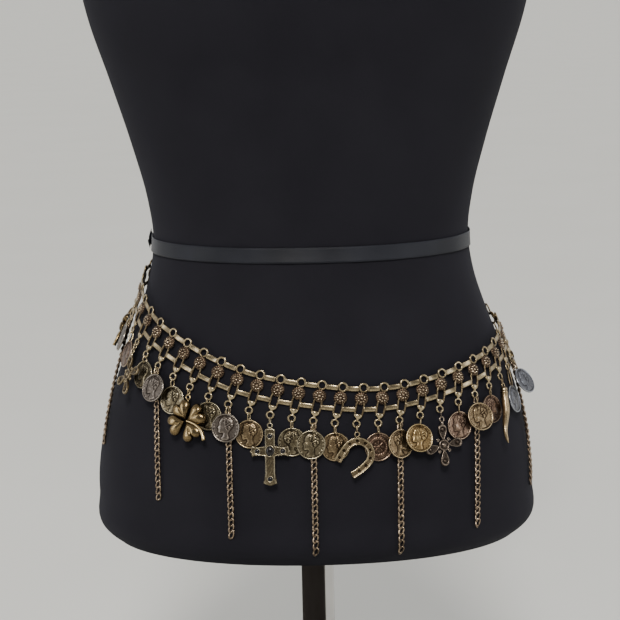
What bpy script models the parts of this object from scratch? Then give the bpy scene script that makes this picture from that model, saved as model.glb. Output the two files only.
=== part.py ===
"""A hip belt of metal links, coins and charms, worn by a limbless dress form on a short stand.

Metres, +Z up, the floor at z = 0, the form's front towards -Y. Angles round the form start at the
front and grow towards +X. The belt is a ladder: columns of wire loops, each with a rosette, held
apart by two rows of flat bars. A coin or a charm hangs from every column, and a chain from every
fourth one.
"""

import math

import bmesh
import bpy
import numpy as np
from mathutils import Matrix, Vector

MM = 0.001

# How late round the sides the form pushes hanging things outwards
PUSH = 2.6

# Stand
BASE_RADIUS = 0.140
BASE_THICKNESS = 0.012
BASE_EDGE = 0.003
POLE_RADIUS = 0.013
POLE_SHOWN = 0.200
POLE_IN_FORM = 0.0003
ROUND_SIDES = 28

# Dress form: each row is a level of the torso, measured from the waist
FORM_ROUND = 2.15
FORM_SIDES = 32
#        height   half width  front   back
FORM = (
    (-0.2360, 0.1590, 0.1050, 0.1050),
    (-0.2290, 0.1675, 0.1130, 0.1135),
    (-0.2000, 0.1716, 0.1160, 0.1180),
    (-0.1600, 0.1680, 0.1140, 0.1180),
    (-0.1200, 0.1575, 0.1090, 0.1120),
    (-0.0900, 0.1470, 0.1040, 0.1030),
    (-0.0600, 0.1355, 0.0980, 0.0930),
    (-0.0300, 0.1260, 0.0930, 0.0850),
    (0.0000, 0.1220, 0.0900, 0.0820),
    (0.0300, 0.1255, 0.0920, 0.0840),
    (0.0700, 0.1355, 0.0970, 0.0890),
    (0.1200, 0.1505, 0.1060, 0.0960),
    (0.1700, 0.1660, 0.1180, 0.1020),
    (0.2150, 0.1740, 0.1240, 0.1050),
    (0.2550, 0.1760, 0.1150, 0.1040),
    (0.2950, 0.1740, 0.0980, 0.0990),
    (0.3250, 0.1640, 0.0820, 0.0900),
    (0.3500, 0.1380, 0.0690, 0.0790),
    (0.3680, 0.1020, 0.0600, 0.0690),
    (0.3820, 0.0740, 0.0545, 0.0610),
    (0.4000, 0.0580, 0.0510, 0.0550),
    (0.4300, 0.0540, 0.0500, 0.0520),
)
TORSO_LEVELS = (
    -0.236, -0.229, -0.198, -0.160, -0.128, -0.095, -0.062, -0.036, -0.013, 0.003,
    0.038, 0.100, 0.160, 0.215, 0.270, 0.310, 0.338, 0.358, 0.378, 0.400, 0.430,
)  # fmt: skip
WAIST_Z = BASE_THICKNESS + POLE_SHOWN - FORM[0][0]
CAP_THICKNESS = 0.010
CAP_OVERHANG = 0.002
SEAM = 0.0003

# Waist tape
TAPE_EDGES = (-0.0105, 0.0010)
TAPE_OFF = 0.0012
TAPE_THICKNESS = 0.0010

# Belt line: height of the arches' centres below the waist, round the form
#             angle  height
BELT_LINE = (
    (-180.0, -0.0340),
    (-150.0, -0.0260),
    (-120.0, -0.0230),
    (-90.0, -0.0290),
    (-60.0, -0.0585),
    (-30.0, -0.0840),
    (0.0, -0.0957),
    (30.0, -0.0997),
    (60.0, -0.0885),
    (90.0, -0.0705),
    (120.0, -0.0570),
    (150.0, -0.0450),
    (180.0, -0.0340),
)
COLUMNS = 48
PITCH = 0.0151
FRONT_COLUMN = 34
FRONT_ANGLE = 3.4
LEAN = math.radians(15.6)
COLUMNS_PER_LENGTH = 8
REPEAT = 4
CHARM_AT = 0
CHAIN_AT = 2

# One column, in millimetres: x along the belt, t down from the belt line
PLATE_OFF = 1.4
# How much further off the form the belt stands at the sides, and over what angle
STAND_OFF = 3.4
STAND_ANGLE = math.radians(92)
STAND_SPREAD = math.radians(62)
PLATE_THICKNESS = 1.4
WIRE = 1.3
LOOP_HALF = 3.7
LOWER_HALF = 3.5
BAR_TOP, BAR_BOTTOM = 1.4, 4.3
LOWER_BAR_TOP, LOWER_BAR_BOTTOM = 16.6, 19.4
ARCH_STEPS = 3
ARCH_T = 1.3
ROSETTE_T = 9.8
ROSETTE_RADIUS = 4.7
ROSETTE_DOME = 1.7
COLLAR_TOP = 22.0
COLLAR_HALF = 2.4
COLLAR_NOTCH = 22.4
RING_T = 28.8
RING_RADIUS = 3.0
RING_HOLE = 1.75
RING_SIDES = 6
END_RING_RADIUS = 2 * ROSETTE_RADIUS * math.sin(math.pi / 8)
END_RING_HOLE = 2.3
LENGTH_GAP = 0.5

# Chains that hang behind every fourth column's coin
CHAIN_LENGTH = 98.0
CHAIN_STEPS = 6
CHAIN_WIDE, CHAIN_NARROW = 2.5, 1.7

# Pendants, in millimetres: y up from the pivot, z off the form
PIVOT_BELOW_RING = 2.1
COIN_RADIUS = 10.5
COIN_SIDES = 11
COIN_THICKNESS = 1.2
COIN_DROP = 15.3
TAB_HALF = 1.1
TAB_BELOW = -0.9
TAB_OVER = 0.4
FRONT_LAYER = 1.8
CHARM_RING_Y = -5.7
CHARM_RING_RADIUS = 2.2
CHARM_RING_WIRE = 0.6
CHARM_TOP = -8.0
CHARMS = (
    "clover", "petal_cross", "horn", "cross", "horseshoe", "clover",
    "petal_cross", "clover", "cross", "horseshoe", "petal_cross", "horn",
)  # fmt: skip
# How some pendants hang: turned about their length, tilted off the form, swung aside, let down
#             column  turn  tilt  swing  drop
HUNG = {
    23: (0.0, 0.0, 8.0, 2.0),
    24: (0.0, 4.0, 8.0, 0.0),
    25: (0.0, 0.0, 0.0, -2.0),
    26: (0.0, 8.0, 0.0, 0.0),
    29: (0.0, 0.0, 0.0, -3.0),
    30: (0.0, 3.0, -5.0, 0.0),
    34: (0.0, 3.0, -7.0, 0.0),
    38: (17.0, 8.0, -5.0, 0.0),
    39: (0.0, 14.0, -13.0, 0.0),
    42: (-12.0, 11.0, 0.0, 0.0),
    44: (0.0, 3.0, -18.0, 0.0),
    45: (0.0, 0.0, -6.0, 8.0),
    46: (-22.0, 12.0, -10.0, 4.0),
}
FLAT_TILT = 3.0
CHARM_TILT = 4.0
FRONT_COINS = (39,)

# Closure at the right side
CLASP_LENGTH = 14.0
CLASP_HALF = 3.0
TAIL_LINKS = 5
TAIL_GAP = 0.1
LINK_HALF = 3.4
LINK_HOLE = 2.1
LINK_STRETCH = 1.2

# name: colour, metallic, roughness
FINISHES = {
    "bronze": ((0.30, 0.23, 0.13), 1.0, 0.42),
    "gold": ((0.46, 0.33, 0.14), 1.0, 0.34),
    "jersey": ((0.016, 0.016, 0.019), 0.0, 0.85),
    "ribbon": ((0.020, 0.020, 0.024), 0.0, 0.45),
    "steel": ((0.60, 0.60, 0.61), 1.0, 0.16),
}


def curve_through(x, rows, column):
    """Smooth curve through one column of a table whose first column is x."""
    table = np.array(rows)
    xs, ys = table[:, 0], table[:, column]
    slopes = np.gradient(ys, xs)
    i = np.clip(np.searchsorted(xs, x) - 1, 0, len(xs) - 2)
    span = xs[i + 1] - xs[i]
    s = (x - xs[i]) / span
    return (
        ys[i] * (1 + 2 * s) * (1 - s) ** 2
        + ys[i + 1] * s * s * (3 - 2 * s)
        + span * slopes[i] * s * (1 - s) ** 2
        - span * slopes[i + 1] * s * s * (1 - s)
    )


def skin(angle, height):
    """Point on the torso at an angle in radians and a height above the waist."""
    side, ahead = np.sin(angle), np.cos(angle)
    half_width = curve_through(height, FORM, 1)
    depth = np.where(ahead > 0, curve_through(height, FORM, 2), curve_through(height, FORM, 3))
    reach = (abs(side / half_width) ** FORM_ROUND + abs(ahead / depth) ** FORM_ROUND) ** (-1 / FORM_ROUND)
    return np.stack([reach * side, -reach * ahead, height + WAIST_Z + 0 * reach], -1)


def skin_axes(angle, height):
    """Unit vectors along the torso's girth, up its skin and out of it."""
    tiny = 1e-4
    along = skin(angle + tiny, height) - skin(angle - tiny, height)
    up = skin(angle, height + tiny) - skin(angle, height - tiny)
    along = Vector(along).normalized()
    out = along.cross(Vector(up)).normalized()
    return along, out.cross(along), out


def fall(angle, height):
    """Unit vector down the skin in the direction in which things hang there.

    At the front they hang straight down. Round the sides the form pushes them outwards.
    """
    along, up, out = skin_axes(angle, height)
    facing = math.atan2(out.x, -out.y)
    pushed = math.copysign(math.pi / 2 * (abs(facing) / (math.pi / 2)) ** PUSH, facing)
    if abs(facing) > math.pi / 2:
        pushed = facing
    sideways = Vector((math.cos(pushed), math.sin(pushed), 0.0))
    way = sideways.cross(out)
    return way.normalized() * math.copysign(1.0, -way.z)


def slide(spot, step):
    """Angle and height after a small world step along the skin from a spot."""
    tiny = 1e-4
    angle, height = spot
    origin = Vector(skin(angle, height))
    by_angle = (Vector(skin(angle + tiny, height)) - origin) / tiny
    by_height = (Vector(skin(angle, height + tiny)) - origin) / tiny
    rise = step.z
    turn = (step - by_height * rise).dot(by_angle) / by_angle.length_squared
    return Vector((angle + turn, height + rise))


def stand_off(angle):
    """How far off the form, in millimetres, the belt's plates are at an angle."""
    turned = (angle + math.pi) % (2 * math.pi) - math.pi
    return PLATE_OFF + STAND_OFF * math.exp(-(((abs(turned) - STAND_ANGLE) / STAND_SPREAD) ** 2))


def belt_height(angle):
    turned = (np.degrees(angle) + 180.0) % 360.0 - 180.0
    return curve_through(turned, BELT_LINE, 1)


def walk(angle, distance):
    """Angle reached by going a distance along the belt line."""
    steps = 24
    for _ in range(steps):
        tiny = 1e-4
        rate = np.linalg.norm(
            skin(angle + tiny, belt_height(angle + tiny)) - skin(angle, belt_height(angle))
        )
        angle += distance / steps * tiny / rate
    return angle


class Column:
    """One column's place on the torso, and the chart that lays millimetres down on the skin there."""

    def __init__(self, angle):
        self.angle = angle
        self.height = float(belt_height(angle))
        self.off = stand_off(float(angle))
        ahead, behind = walk(angle, PITCH / 2), walk(angle, -PITCH / 2)
        self.slope = math.asin((belt_height(ahead) - belt_height(behind)) / PITCH)
        self.levels = np.arange(self.height + 0.012, -0.2355, -0.0015)
        fall = skin(np.full_like(self.levels, angle), self.levels)
        run = np.concatenate([[0.0], np.cumsum(np.linalg.norm(np.diff(fall, axis=0), axis=1))])
        self.run = run - np.interp(-self.height, -self.levels, run)

    def chart(self, across, down):
        """Angle and height of a spot this far round the girth and down the skin, in millimetres."""
        height = float(np.interp(down * MM, self.run, self.levels))
        tiny = 1e-4
        rate = np.linalg.norm(skin(self.angle + tiny, height) - skin(self.angle, height)) / tiny
        return self.angle + across * MM / rate, height

    def leaned(self, x, t):
        """Across and down of a point of the ladder, whose bars follow the belt line."""
        return (
            x * math.cos(self.slope) - t * math.sin(LEAN),
            -x * math.sin(self.slope) + t * math.cos(LEAN),
        )

    def point(self, across, down, off):
        angle, height = self.chart(across, down)
        return Vector(skin(angle, height)) + skin_axes(angle, height)[2] * off * MM

    def at(self, x, t, dx=0.0, dt=0.0, raised=0.0):
        """World point of the ladder's x and t, moved by dx and dt without the lean."""
        across, down = self.leaned(x, t)
        return self.point(across + dx, down + dt, self.off + raised)

    def pivot(self):
        """Frame at the bottom of the column's jump ring: X round the girth, Y up the skin, Z out."""
        across, down = self.leaned(0.0, RING_T)
        down += PIVOT_BELOW_RING
        angle, height = self.chart(across, down)
        up, out = -fall(angle, height), skin_axes(angle, height)[2]
        frame = Matrix((up.cross(out), up, out)).transposed().to_4x4()
        frame.translation = self.point(across, down, self.off)
        return frame


def turned(dx, dt):
    """A step across and down, turned to follow the columns' lean."""
    return dx * math.cos(LEAN) - dt * math.sin(LEAN), dx * math.sin(LEAN) + dt * math.cos(LEAN)


def belt_columns():
    front = math.radians(FRONT_ANGLE)
    return [Column(walk(front, (i - FRONT_COLUMN) * PITCH)) for i in range(COLUMNS)]


def new_collection(name):
    made = bpy.data.collections.new(name)
    bpy.context.scene.collection.children.link(made)
    return made


def finish_of(name):
    found = bpy.data.materials.get(name)
    if found:
        return found
    colour, metallic, roughness = FINISHES[name]
    made = bpy.data.materials.new(name)
    made.use_nodes = True
    shader = made.node_tree.nodes["Principled BSDF"]
    shader.inputs["Base Color"].default_value = (*colour, 1.0)
    shader.inputs["Metallic"].default_value = metallic
    shader.inputs["Roughness"].default_value = roughness
    return made


def add_object(name, mesh, collection, finish, smooth=True):
    made = bpy.data.objects.new(name, mesh)
    collection.objects.link(made)
    if not mesh.materials:
        mesh.materials.append(finish_of(finish))
    if smooth:
        mesh.shade_smooth()
        mesh.set_sharp_from_angle(angle=math.radians(35))
    return made


def take(obj):
    """The object's evaluated mesh in its own space, with the object removed."""
    bpy.context.view_layer.update()
    graph = bpy.context.evaluated_depsgraph_get()
    mesh = bpy.data.meshes.new_from_object(obj.evaluated_get(graph))
    mesh.transform(obj.matrix_world)
    bpy.data.objects.remove(obj)
    bm = bmesh.new()
    bm.from_mesh(mesh)
    bmesh.ops.remove_doubles(bm, verts=bm.verts, dist=1e-6)
    bm.to_mesh(mesh)
    bm.free()
    return mesh


def union(meshes):
    """One mesh from overlapping closed ones."""
    shapes = [bpy.data.objects.new("shape", mesh) for mesh in meshes]
    for shape in shapes:
        bpy.context.scene.collection.objects.link(shape)
    for other in shapes[1:]:
        joined = shapes[0].modifiers.new("join", "BOOLEAN")
        joined.operation = "UNION"
        joined.object = other
    mesh = take(shapes[0])
    for other in shapes[1:]:
        bpy.data.objects.remove(other)
    return mesh


def primitive(**shape):
    """A mesh from Blender's primitive operators: kind=cube, cylinder, uv_sphere or torus."""
    kind, place, scale = shape.pop("kind"), shape.pop("place", (0, 0, 0)), shape.pop("scale", (1, 1, 1))
    turn = shape.pop("turn", 0.0)
    getattr(bpy.ops.mesh, f"primitive_{kind}_add")(**shape)
    obj = bpy.context.object
    obj.matrix_world = (
        Matrix.Translation(place) @ Matrix.Rotation(turn, 4, "Z") @ Matrix.Diagonal((*scale, 1.0))
    )
    return take(obj)


def plate(outlines, thickness, off=0.0):
    """A flat plate in the XY plane from closed outlines in millimetres, the later ones holes."""
    curve = bpy.data.curves.new("outline", "CURVE")
    curve.dimensions = "2D"
    curve.fill_mode = "BOTH"
    curve.extrude = thickness / 2 * MM
    for outline in outlines:
        spline = curve.splines.new("POLY")
        spline.points.add(len(outline) - 1)
        for point, (x, y) in zip(spline.points, outline):
            point.co = (x * MM, y * MM, 0.0, 1.0)
        spline.use_cyclic_u = True
    obj = bpy.data.objects.new("outline", curve)
    bpy.context.scene.collection.objects.link(obj)
    obj.location.z = off * MM
    return take(obj)


def tube(points, radii, sides_step=1):
    """A tapered wire through points in millimetres, with filled ends."""
    curve = bpy.data.curves.new("wire", "CURVE")
    curve.dimensions = "3D"
    curve.bevel_depth = MM
    curve.bevel_resolution = sides_step
    curve.use_fill_caps = True
    spline = curve.splines.new("POLY")
    spline.points.add(len(points) - 1)
    for point, place, radius in zip(spline.points, points, radii):
        point.co = (*(v * MM for v in place), 1.0)
        point.radius = radius
    obj = bpy.data.objects.new("wire", curve)
    bpy.context.scene.collection.objects.link(obj)
    return take(obj)


def circle(radius, sides, centre=(0.0, 0.0), start=0.0, turn=2 * math.pi):
    """Points on a circle, or on an arc of it when turn is less than a whole one."""
    gaps = sides if turn >= 2 * math.pi else sides - 1
    return [
        (centre[0] + radius * math.cos(a), centre[1] + radius * math.sin(a))
        for a in (start + turn * i / gaps for i in range(sides))
    ]


def torso(collection):
    """Loft through the torso's levels, closed at the hem and the neck."""
    angles = np.linspace(0, 2 * math.pi, FORM_SIDES, endpoint=False)
    rings = [skin(angles, np.full_like(angles, level)) for level in TORSO_LEVELS]
    points = np.concatenate(rings)
    sides = FORM_SIDES
    walls = [
        (r * sides + i, r * sides + (i + 1) % sides, (r + 1) * sides + (i + 1) % sides, (r + 1) * sides + i)
        for r in range(len(rings) - 1)
        for i in range(sides)
    ]
    hem = tuple(reversed(range(sides)))
    neck = tuple(range(len(points) - sides, len(points)))
    mesh = bpy.data.meshes.new("form_torso")
    mesh.from_pydata([tuple(p) for p in points], [], [hem, *walls, neck])
    return add_object("form_torso", mesh, collection, "jersey")


def neck_cap(collection):
    """Disc that closes the neck, a little wider than it."""
    _, half_width, front, back = FORM[-1]
    mesh = primitive(
        kind="cylinder",
        vertices=ROUND_SIDES,
        radius=1.0,
        depth=CAP_THICKNESS,
        scale=(half_width + CAP_OVERHANG, (front + back) / 2 + CAP_OVERHANG, 1.0),
        place=(0, (back - front) / 2, WAIST_Z + FORM[-1][0] + SEAM + CAP_THICKNESS / 2),
    )
    return add_object("form_cap", mesh, collection, "jersey")


def stand(collection):
    """Round base plate with a bevelled edge, and the pole that carries the torso."""
    bpy.ops.mesh.primitive_cylinder_add(
        vertices=ROUND_SIDES, radius=BASE_RADIUS, depth=BASE_THICKNESS, location=(0, 0, BASE_THICKNESS / 2)
    )
    disc = bpy.context.object
    edge = disc.modifiers.new("edge", "BEVEL")
    edge.width = BASE_EDGE
    edge.segments = 1
    bottom = BASE_THICKNESS / 2
    top = BASE_THICKNESS + POLE_SHOWN - POLE_IN_FORM
    pole = primitive(
        kind="cylinder",
        vertices=ROUND_SIDES // 2,
        radius=POLE_RADIUS,
        depth=top - bottom,
        place=(0, 0, (top + bottom) / 2),
    )
    return add_object("stand", union([take(disc), pole]), collection, "steel")


def waist_tape(collection):
    """Flat tape pulled round the waist: an open ring of skin points with a wall."""
    angles = np.linspace(0, 2 * math.pi, FORM_SIDES, endpoint=False)
    bm = bmesh.new()
    edges = []
    for height in TAPE_EDGES:
        ring = [bm.verts.new(Vector(skin(a, height)) + skin_axes(a, height)[2] * TAPE_OFF) for a in angles]
        edges += [bm.edges.new((ring[i - 1], ring[i])) for i in range(len(ring))]
    bmesh.ops.bridge_loops(bm, edges=edges)
    mesh = bpy.data.meshes.new("waist_tape")
    bm.to_mesh(mesh)
    bm.free()
    made = add_object("waist_tape", mesh, collection, "ribbon")
    wall(made, TAPE_THICKNESS)
    return made


def wall(obj, thickness):
    """Gives an open surface its thickness, half to each side."""
    made = obj.modifiers.new("wall", "SOLIDIFY")
    made.thickness = thickness
    made.offset = 0.0


class Lattice:
    """An open surface of strips laid on the form, which Solidify makes one closed body."""

    def __init__(self):
        self.bm = bmesh.new()

    def face(self, points):
        self.bm.faces.new([self.bm.verts.new(p) for p in points])

    def strip(self, one_side, other_side, closed=False):
        count = len(one_side)
        for i in range(count if closed else count - 1):
            j = (i + 1) % count
            self.face([one_side[i], one_side[j], other_side[j], other_side[i]])

    def ring(self, column, x, t, dx, dt, outer, inner, stretch=0.0, start=0.0):
        """A ring of strips about a spot, drawn out by stretch along t. Returns its outer points."""
        sides = []
        for radius in (outer, inner):
            sides.append([
                column.at(x, t, dx + a, dt + b + math.copysign(stretch, b))
                for a, b in circle(radius, RING_SIDES, start=start)
            ])
        self.strip(sides[0], sides[1], closed=True)
        return sides[0]

    def build(self, name, collection, finish):
        bmesh.ops.remove_doubles(self.bm, verts=self.bm.verts, dist=0.01 * MM)
        bmesh.ops.recalc_face_normals(self.bm, faces=self.bm.faces)
        mesh = bpy.data.meshes.new(name)
        self.bm.to_mesh(mesh)
        self.bm.free()
        made = add_object(name, mesh, collection, finish, smooth=False)
        wall(made, PLATE_THICKNESS * MM)
        return made


def leg_pairs(column, side, half, levels):
    """Outer and inner edge of a loop's leg at each level."""
    outer = [column.at(side * half, t) for t in levels]
    inner = [column.at(side * (half - WIRE), t) for t in levels]
    return outer, inner


def add_column(lattice, column):
    """Arch, rosette, tapered lower loop, collar and jump ring."""
    corners = [turned(*spot) for spot in circle(ROSETTE_RADIUS, 8, start=math.pi / 8)]
    rosette = [column.at(0, ROSETTE_T, dx, dt) for dx, dt in corners]
    dome = column.at(0, ROSETTE_T, raised=ROSETTE_DOME)
    for i in range(len(rosette)):
        lattice.face([rosette[i - 1], rosette[i], dome])

    arch = circle(1.0, ARCH_STEPS + 1, start=math.pi, turn=math.pi)
    rows = []
    for radius in (LOOP_HALF, LOOP_HALF - WIRE):
        ends = (column.at(-radius, BAR_TOP), column.at(radius, BAR_TOP))
        middle = [column.at(x * radius, ARCH_T + t * radius) for x, t in arch[1:-1]]
        rows.append([ends[0], *middle, ends[1]])
    lattice.strip(*rows)

    # The octagon's slanting edges take the legs: their outer and inner corners, from the top
    for side, (up_out, up_in, low_out, low_in) in ((-1, (4, 5, 3, 2)), (1, (7, 6, 0, 1))):
        outer, inner = leg_pairs(column, side, LOOP_HALF, (BAR_TOP, BAR_BOTTOM))
        lattice.strip([*outer, rosette[up_out]], [*inner, rosette[up_in]])
        outer, inner = leg_pairs(column, side, LOWER_HALF, (LOWER_BAR_TOP, LOWER_BAR_BOTTOM))
        lattice.strip(
            [rosette[low_out], *outer, column.at(side * COLLAR_HALF, COLLAR_TOP)],
            [rosette[low_in], *inner, column.at(0, COLLAR_NOTCH)],
        )

    ring = lattice.ring(column, 0, RING_T, 0, 0, RING_RADIUS, RING_HOLE)
    lattice.face([
        column.at(-COLLAR_HALF, COLLAR_TOP),
        column.at(0, COLLAR_NOTCH),
        column.at(COLLAR_HALF, COLLAR_TOP),
        ring[5],
        ring[4],
    ])


def add_bars(lattice, column, after, gap=0.0):
    """The two flat bars to the next column, ending short of it where a length of the belt ends."""
    for half, top, bottom in (
        (LOOP_HALF, BAR_TOP, BAR_BOTTOM),
        (LOWER_HALF, LOWER_BAR_TOP, LOWER_BAR_BOTTOM),
    ):
        here = [column.at(half, top), column.at(half, bottom)]
        there = [after.at(-half - gap, top), after.at(-half - gap, bottom)]
        lattice.strip(here, there)


def add_chain(lattice, column):
    """Chain that hangs down the form from the jump ring, waisted like its links."""
    foot = RING_RADIUS * math.cos(math.pi / 6)
    across, down = column.leaned(0.0, RING_T)
    spot = Vector(column.chart(across, down + foot))
    step = CHAIN_LENGTH * MM / CHAIN_STEPS
    rows = tuple([column.at(0, RING_T, side * RING_RADIUS / 2, foot)] for side in (-1, 1))
    for i in range(1, CHAIN_STEPS + 1):
        for _ in range(10):
            spot = slide(spot, fall(*spot) * step / 10)
        half = CHAIN_NARROW if i % 2 else CHAIN_WIDE
        up, out = -fall(*spot), skin_axes(*spot)[2]
        off = PLATE_OFF + (column.off - PLATE_OFF) * (1 - i / CHAIN_STEPS)
        place = Vector(skin(*spot)) + out * off * MM
        for side, row in zip((-1, 1), rows):
            row.append(place + up.cross(out) * side * half * MM)
    lattice.strip(*rows)


def belt_lengths(columns, collection):
    """The ladder, in lengths of eight columns whose ends are a seam apart."""
    for number in range(COLUMNS // COLUMNS_PER_LENGTH):
        lattice = Lattice()
        first = number * COLUMNS_PER_LENGTH
        for i in range(first, first + COLUMNS_PER_LENGTH):
            add_column(lattice, columns[i])
            if i % REPEAT == CHAIN_AT:
                add_chain(lattice, columns[i])
            if i + 1 < COLUMNS:
                last = i == first + COLUMNS_PER_LENGTH - 1
                add_bars(lattice, columns[i], columns[i + 1], LENGTH_GAP if last else 0.0)
        if first == 0:
            end_ring(lattice, columns[0], -1)
        if first + COLUMNS_PER_LENGTH == COLUMNS:
            end_ring(lattice, columns[-1], 1)
        lattice.build(f"belt_length_{number + 1}", collection, "bronze")


def end_spot(side):
    """Centre of an end ring, from its rosette's."""
    edge = ROSETTE_RADIUS * math.cos(math.pi / 8)
    return turned(side * (edge + END_RING_RADIUS * math.cos(math.pi / 6)), 0.0)


def end_ring(lattice, column, side):
    """Ring on the last rosette's outer edge, for the clasp or the extender."""
    start = math.pi / 6 + LEAN
    lattice.ring(column, 0, ROSETTE_T, *end_spot(side), END_RING_RADIUS, END_RING_HOLE, start=start)


def coin_mesh(tab_top, drop):
    """Disc with the short tab of the ring that it hangs by."""
    turn = math.asin(TAB_HALF / COIN_RADIUS)
    disc = circle(
        COIN_RADIUS,
        COIN_SIDES,
        centre=(0.0, -COIN_DROP - drop),
        start=math.pi / 2 + turn,
        turn=2 * math.pi - 2 * turn,
    )
    return plate([[(TAB_HALF, tab_top), (-TAB_HALF, tab_top), *disc]], COIN_THICKNESS)


def bail(off):
    """Link and ring by which a charm hangs from the jump ring."""
    link = plate(
        [[(-TAB_HALF, TAB_OVER), (TAB_HALF, TAB_OVER), (TAB_HALF, -3.6), (-TAB_HALF, -3.6)]], 1.1, off
    )
    ring = primitive(
        kind="torus",
        major_segments=6,
        minor_segments=4,
        major_radius=CHARM_RING_RADIUS * MM,
        minor_radius=CHARM_RING_WIRE * MM,
        place=(0, CHARM_RING_Y * MM, off * MM),
    )
    return [ring, link]


def lobe(x, y, off, along, across, thick, angle, segments=8):
    """A flattened ball with its long axis at an angle in the plane."""
    # Three rings leave the ball's widest facets at sin 60 of its radius
    wide = 1 / math.sin(math.pi / 3)
    return primitive(
        kind="uv_sphere",
        segments=segments,
        ring_count=3,
        radius=MM,
        place=(x * MM, y * MM, off * MM),
        turn=math.radians(angle),
        scale=(along * wide, across * wide, thick),
    )


def clover(off):
    """Four heart-shaped leaves about the middle, and a bent stem."""
    middle = (-0.5, -23.0)
    leaf, across, reach = 7.0, 6.3, 7.2
    shapes = bail(off)
    shapes.append(plate([[(-1.2, -7.6), (1.2, -7.6), (1.2, -14.0), (-1.2, -14.0)]], 1.5, off + 0.35))
    for angle in (27, 117, 197, 296):
        a = math.radians(angle)
        shapes.append(
            lobe(middle[0] + reach * math.cos(a), middle[1] + reach * math.sin(a),
                 off + 0.9, leaf, across, 1.9, angle + 7)
        )  # fmt: skip
    stem = [(middle[0] + x, middle[1] + y, off + 0.5) for x, y in ((0, 0), (9.5, -5.5), (14.5, -14.0))]
    shapes.append(tube(stem, (1.1, 1.0, 0.9), 0))
    return union(shapes)


def cross(off):
    """Latin cross with a boss at the crossing and spread ends."""
    half, arm, arm_y = 3.6, 13.7, -24.3
    top, foot = CHARM_TOP + 0.4, -49.5
    upright = [(-half, top), (half, top), (half - 0.5, foot + 5), (half + 1.1, foot + 2), (0, foot),
               (-half - 1.1, foot + 2), (-half + 0.5, foot + 5)]  # fmt: skip
    crossbar = [(-arm, arm_y - half), (-arm + 3, arm_y - half + 0.4), (arm - 3, arm_y - half + 0.4),
                (arm, arm_y - half), (arm, arm_y + half), (arm - 3, arm_y + half - 0.4),
                (-arm + 3, arm_y + half - 0.4), (-arm, arm_y + half)]  # fmt: skip
    boss = lobe(0, arm_y, off + 0.5, 3.1, 2.5, 2.1, 90)
    return union([*bail(off), plate([upright], 1.8, off + 0.2), plate([crossbar], 1.5, off + 0.15), boss])


def horseshoe(off):
    """Shoe of even width hung from its shoulder, so that its open end points down to the left."""
    outer, inner, toe, pinch = 12.4, 6.9, 14.0, 2.3
    turn = math.radians(-45)
    steps = 7
    outline = [
        (-inner + pinch, -toe), (-outer + pinch, -toe), *reversed(circle(outer, steps, turn=math.pi)),
        (outer - pinch, -toe), (inner - pinch, -toe), *circle(inner, steps, turn=math.pi),
    ]  # fmt: skip
    middle = CHARM_TOP - outer + 0.4
    placed = [
        (x * math.cos(turn) - y * math.sin(turn), middle + x * math.sin(turn) + y * math.cos(turn))
        for x, y in outline
    ]
    return union([*bail(off), plate([placed], 2.0, off + 0.4)])


def petal_cross(off):
    """Cross of four drop-shaped petals about a round middle."""
    middle_y, reach = -24.6, 9.6
    shapes = [*bail(off), plate([circle(4.4, 8, centre=(0.0, middle_y))], 2.2, off + 0.2)]
    for angle in (8, 92, 195, 271):
        a = math.radians(angle)
        shapes.append(
            lobe(reach * math.cos(a), middle_y + reach * math.sin(a), off + 0.4, 6.4, 4.0, 1.5, angle)
        )
    shapes.append(plate([[(-1.2, -7.6), (1.2, -7.6), (1.2, -10.5), (-1.2, -10.5)]], 1.5, off + 0.3))
    return union(shapes)


def horn(off):
    """Capped horn, bent in a slack S and drawn to a point."""
    route = ((0, -8.0), (0.0, -16), (0.9, -23), (1.0, -30), (0.0, -37), (0.4, -43), (2.4, -49))
    radii = (2.0, 2.3, 2.3, 2.0, 1.6, 1.1, 0.35)
    body = tube([(x, y, off + 0.6) for x, y in route], radii, 0)
    cap = primitive(
        kind="uv_sphere", segments=6, ring_count=4, radius=2.7 * MM, place=(0, -9.2 * MM, (off + 0.6) * MM)
    )
    return union([*bail(off), body, cap])


CHARM_SHAPES = {
    "clover": (clover, "gold"),
    "cross": (cross, "bronze"),
    "horseshoe": (horseshoe, "bronze"),
    "petal_cross": (petal_cross, "bronze"),
    "horn": (horn, "gold"),
}


def hang(obj, column, turn, tilt, swing):
    """Sets a pendant at its column's pivot, swung in the skin, tilted off it and turned."""
    obj.matrix_world = (
        column.pivot()
        @ Matrix.Rotation(math.radians(swing), 4, "Z")
        @ Matrix.Rotation(-math.radians(tilt), 4, "X")
        @ Matrix.Rotation(math.radians(turn), 4, "Y")
    )


def in_front(i):
    """Whether column i's pendant hangs over its neighbours."""
    return i % 2 == 0 or i in FRONT_COINS


def coin(i, drop):
    """Column i's coin, flat at the back or on the front layer."""
    if not in_front(i):
        return coin_mesh(TAB_BELOW, drop)
    mesh = coin_mesh(TAB_OVER, drop)
    mesh.transform(Matrix.Translation((0, 0, FRONT_LAYER * MM)))
    return mesh


def pendants(columns, collection):
    """A coin or a charm on each column."""
    for i, column in enumerate(columns):
        usual = CHARM_TILT if i % REPEAT == CHARM_AT else FLAT_TILT if in_front(i) else 0.0
        turn, tilt, swing, drop = HUNG.get(i, (0.0, usual, 0.0, 0.0))
        if i % REPEAT == CHARM_AT:
            kind = CHARMS[i // REPEAT]
            shape, finish = CHARM_SHAPES[kind]
            made = add_object(f"charm_{i + 1:02d}_{kind}", shape(FRONT_LAYER), collection, finish)
        else:
            made = add_object(f"coin_{i + 1:02d}", coin(i, drop), collection, "bronze")
        hang(made, column, turn, tilt, swing)


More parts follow.
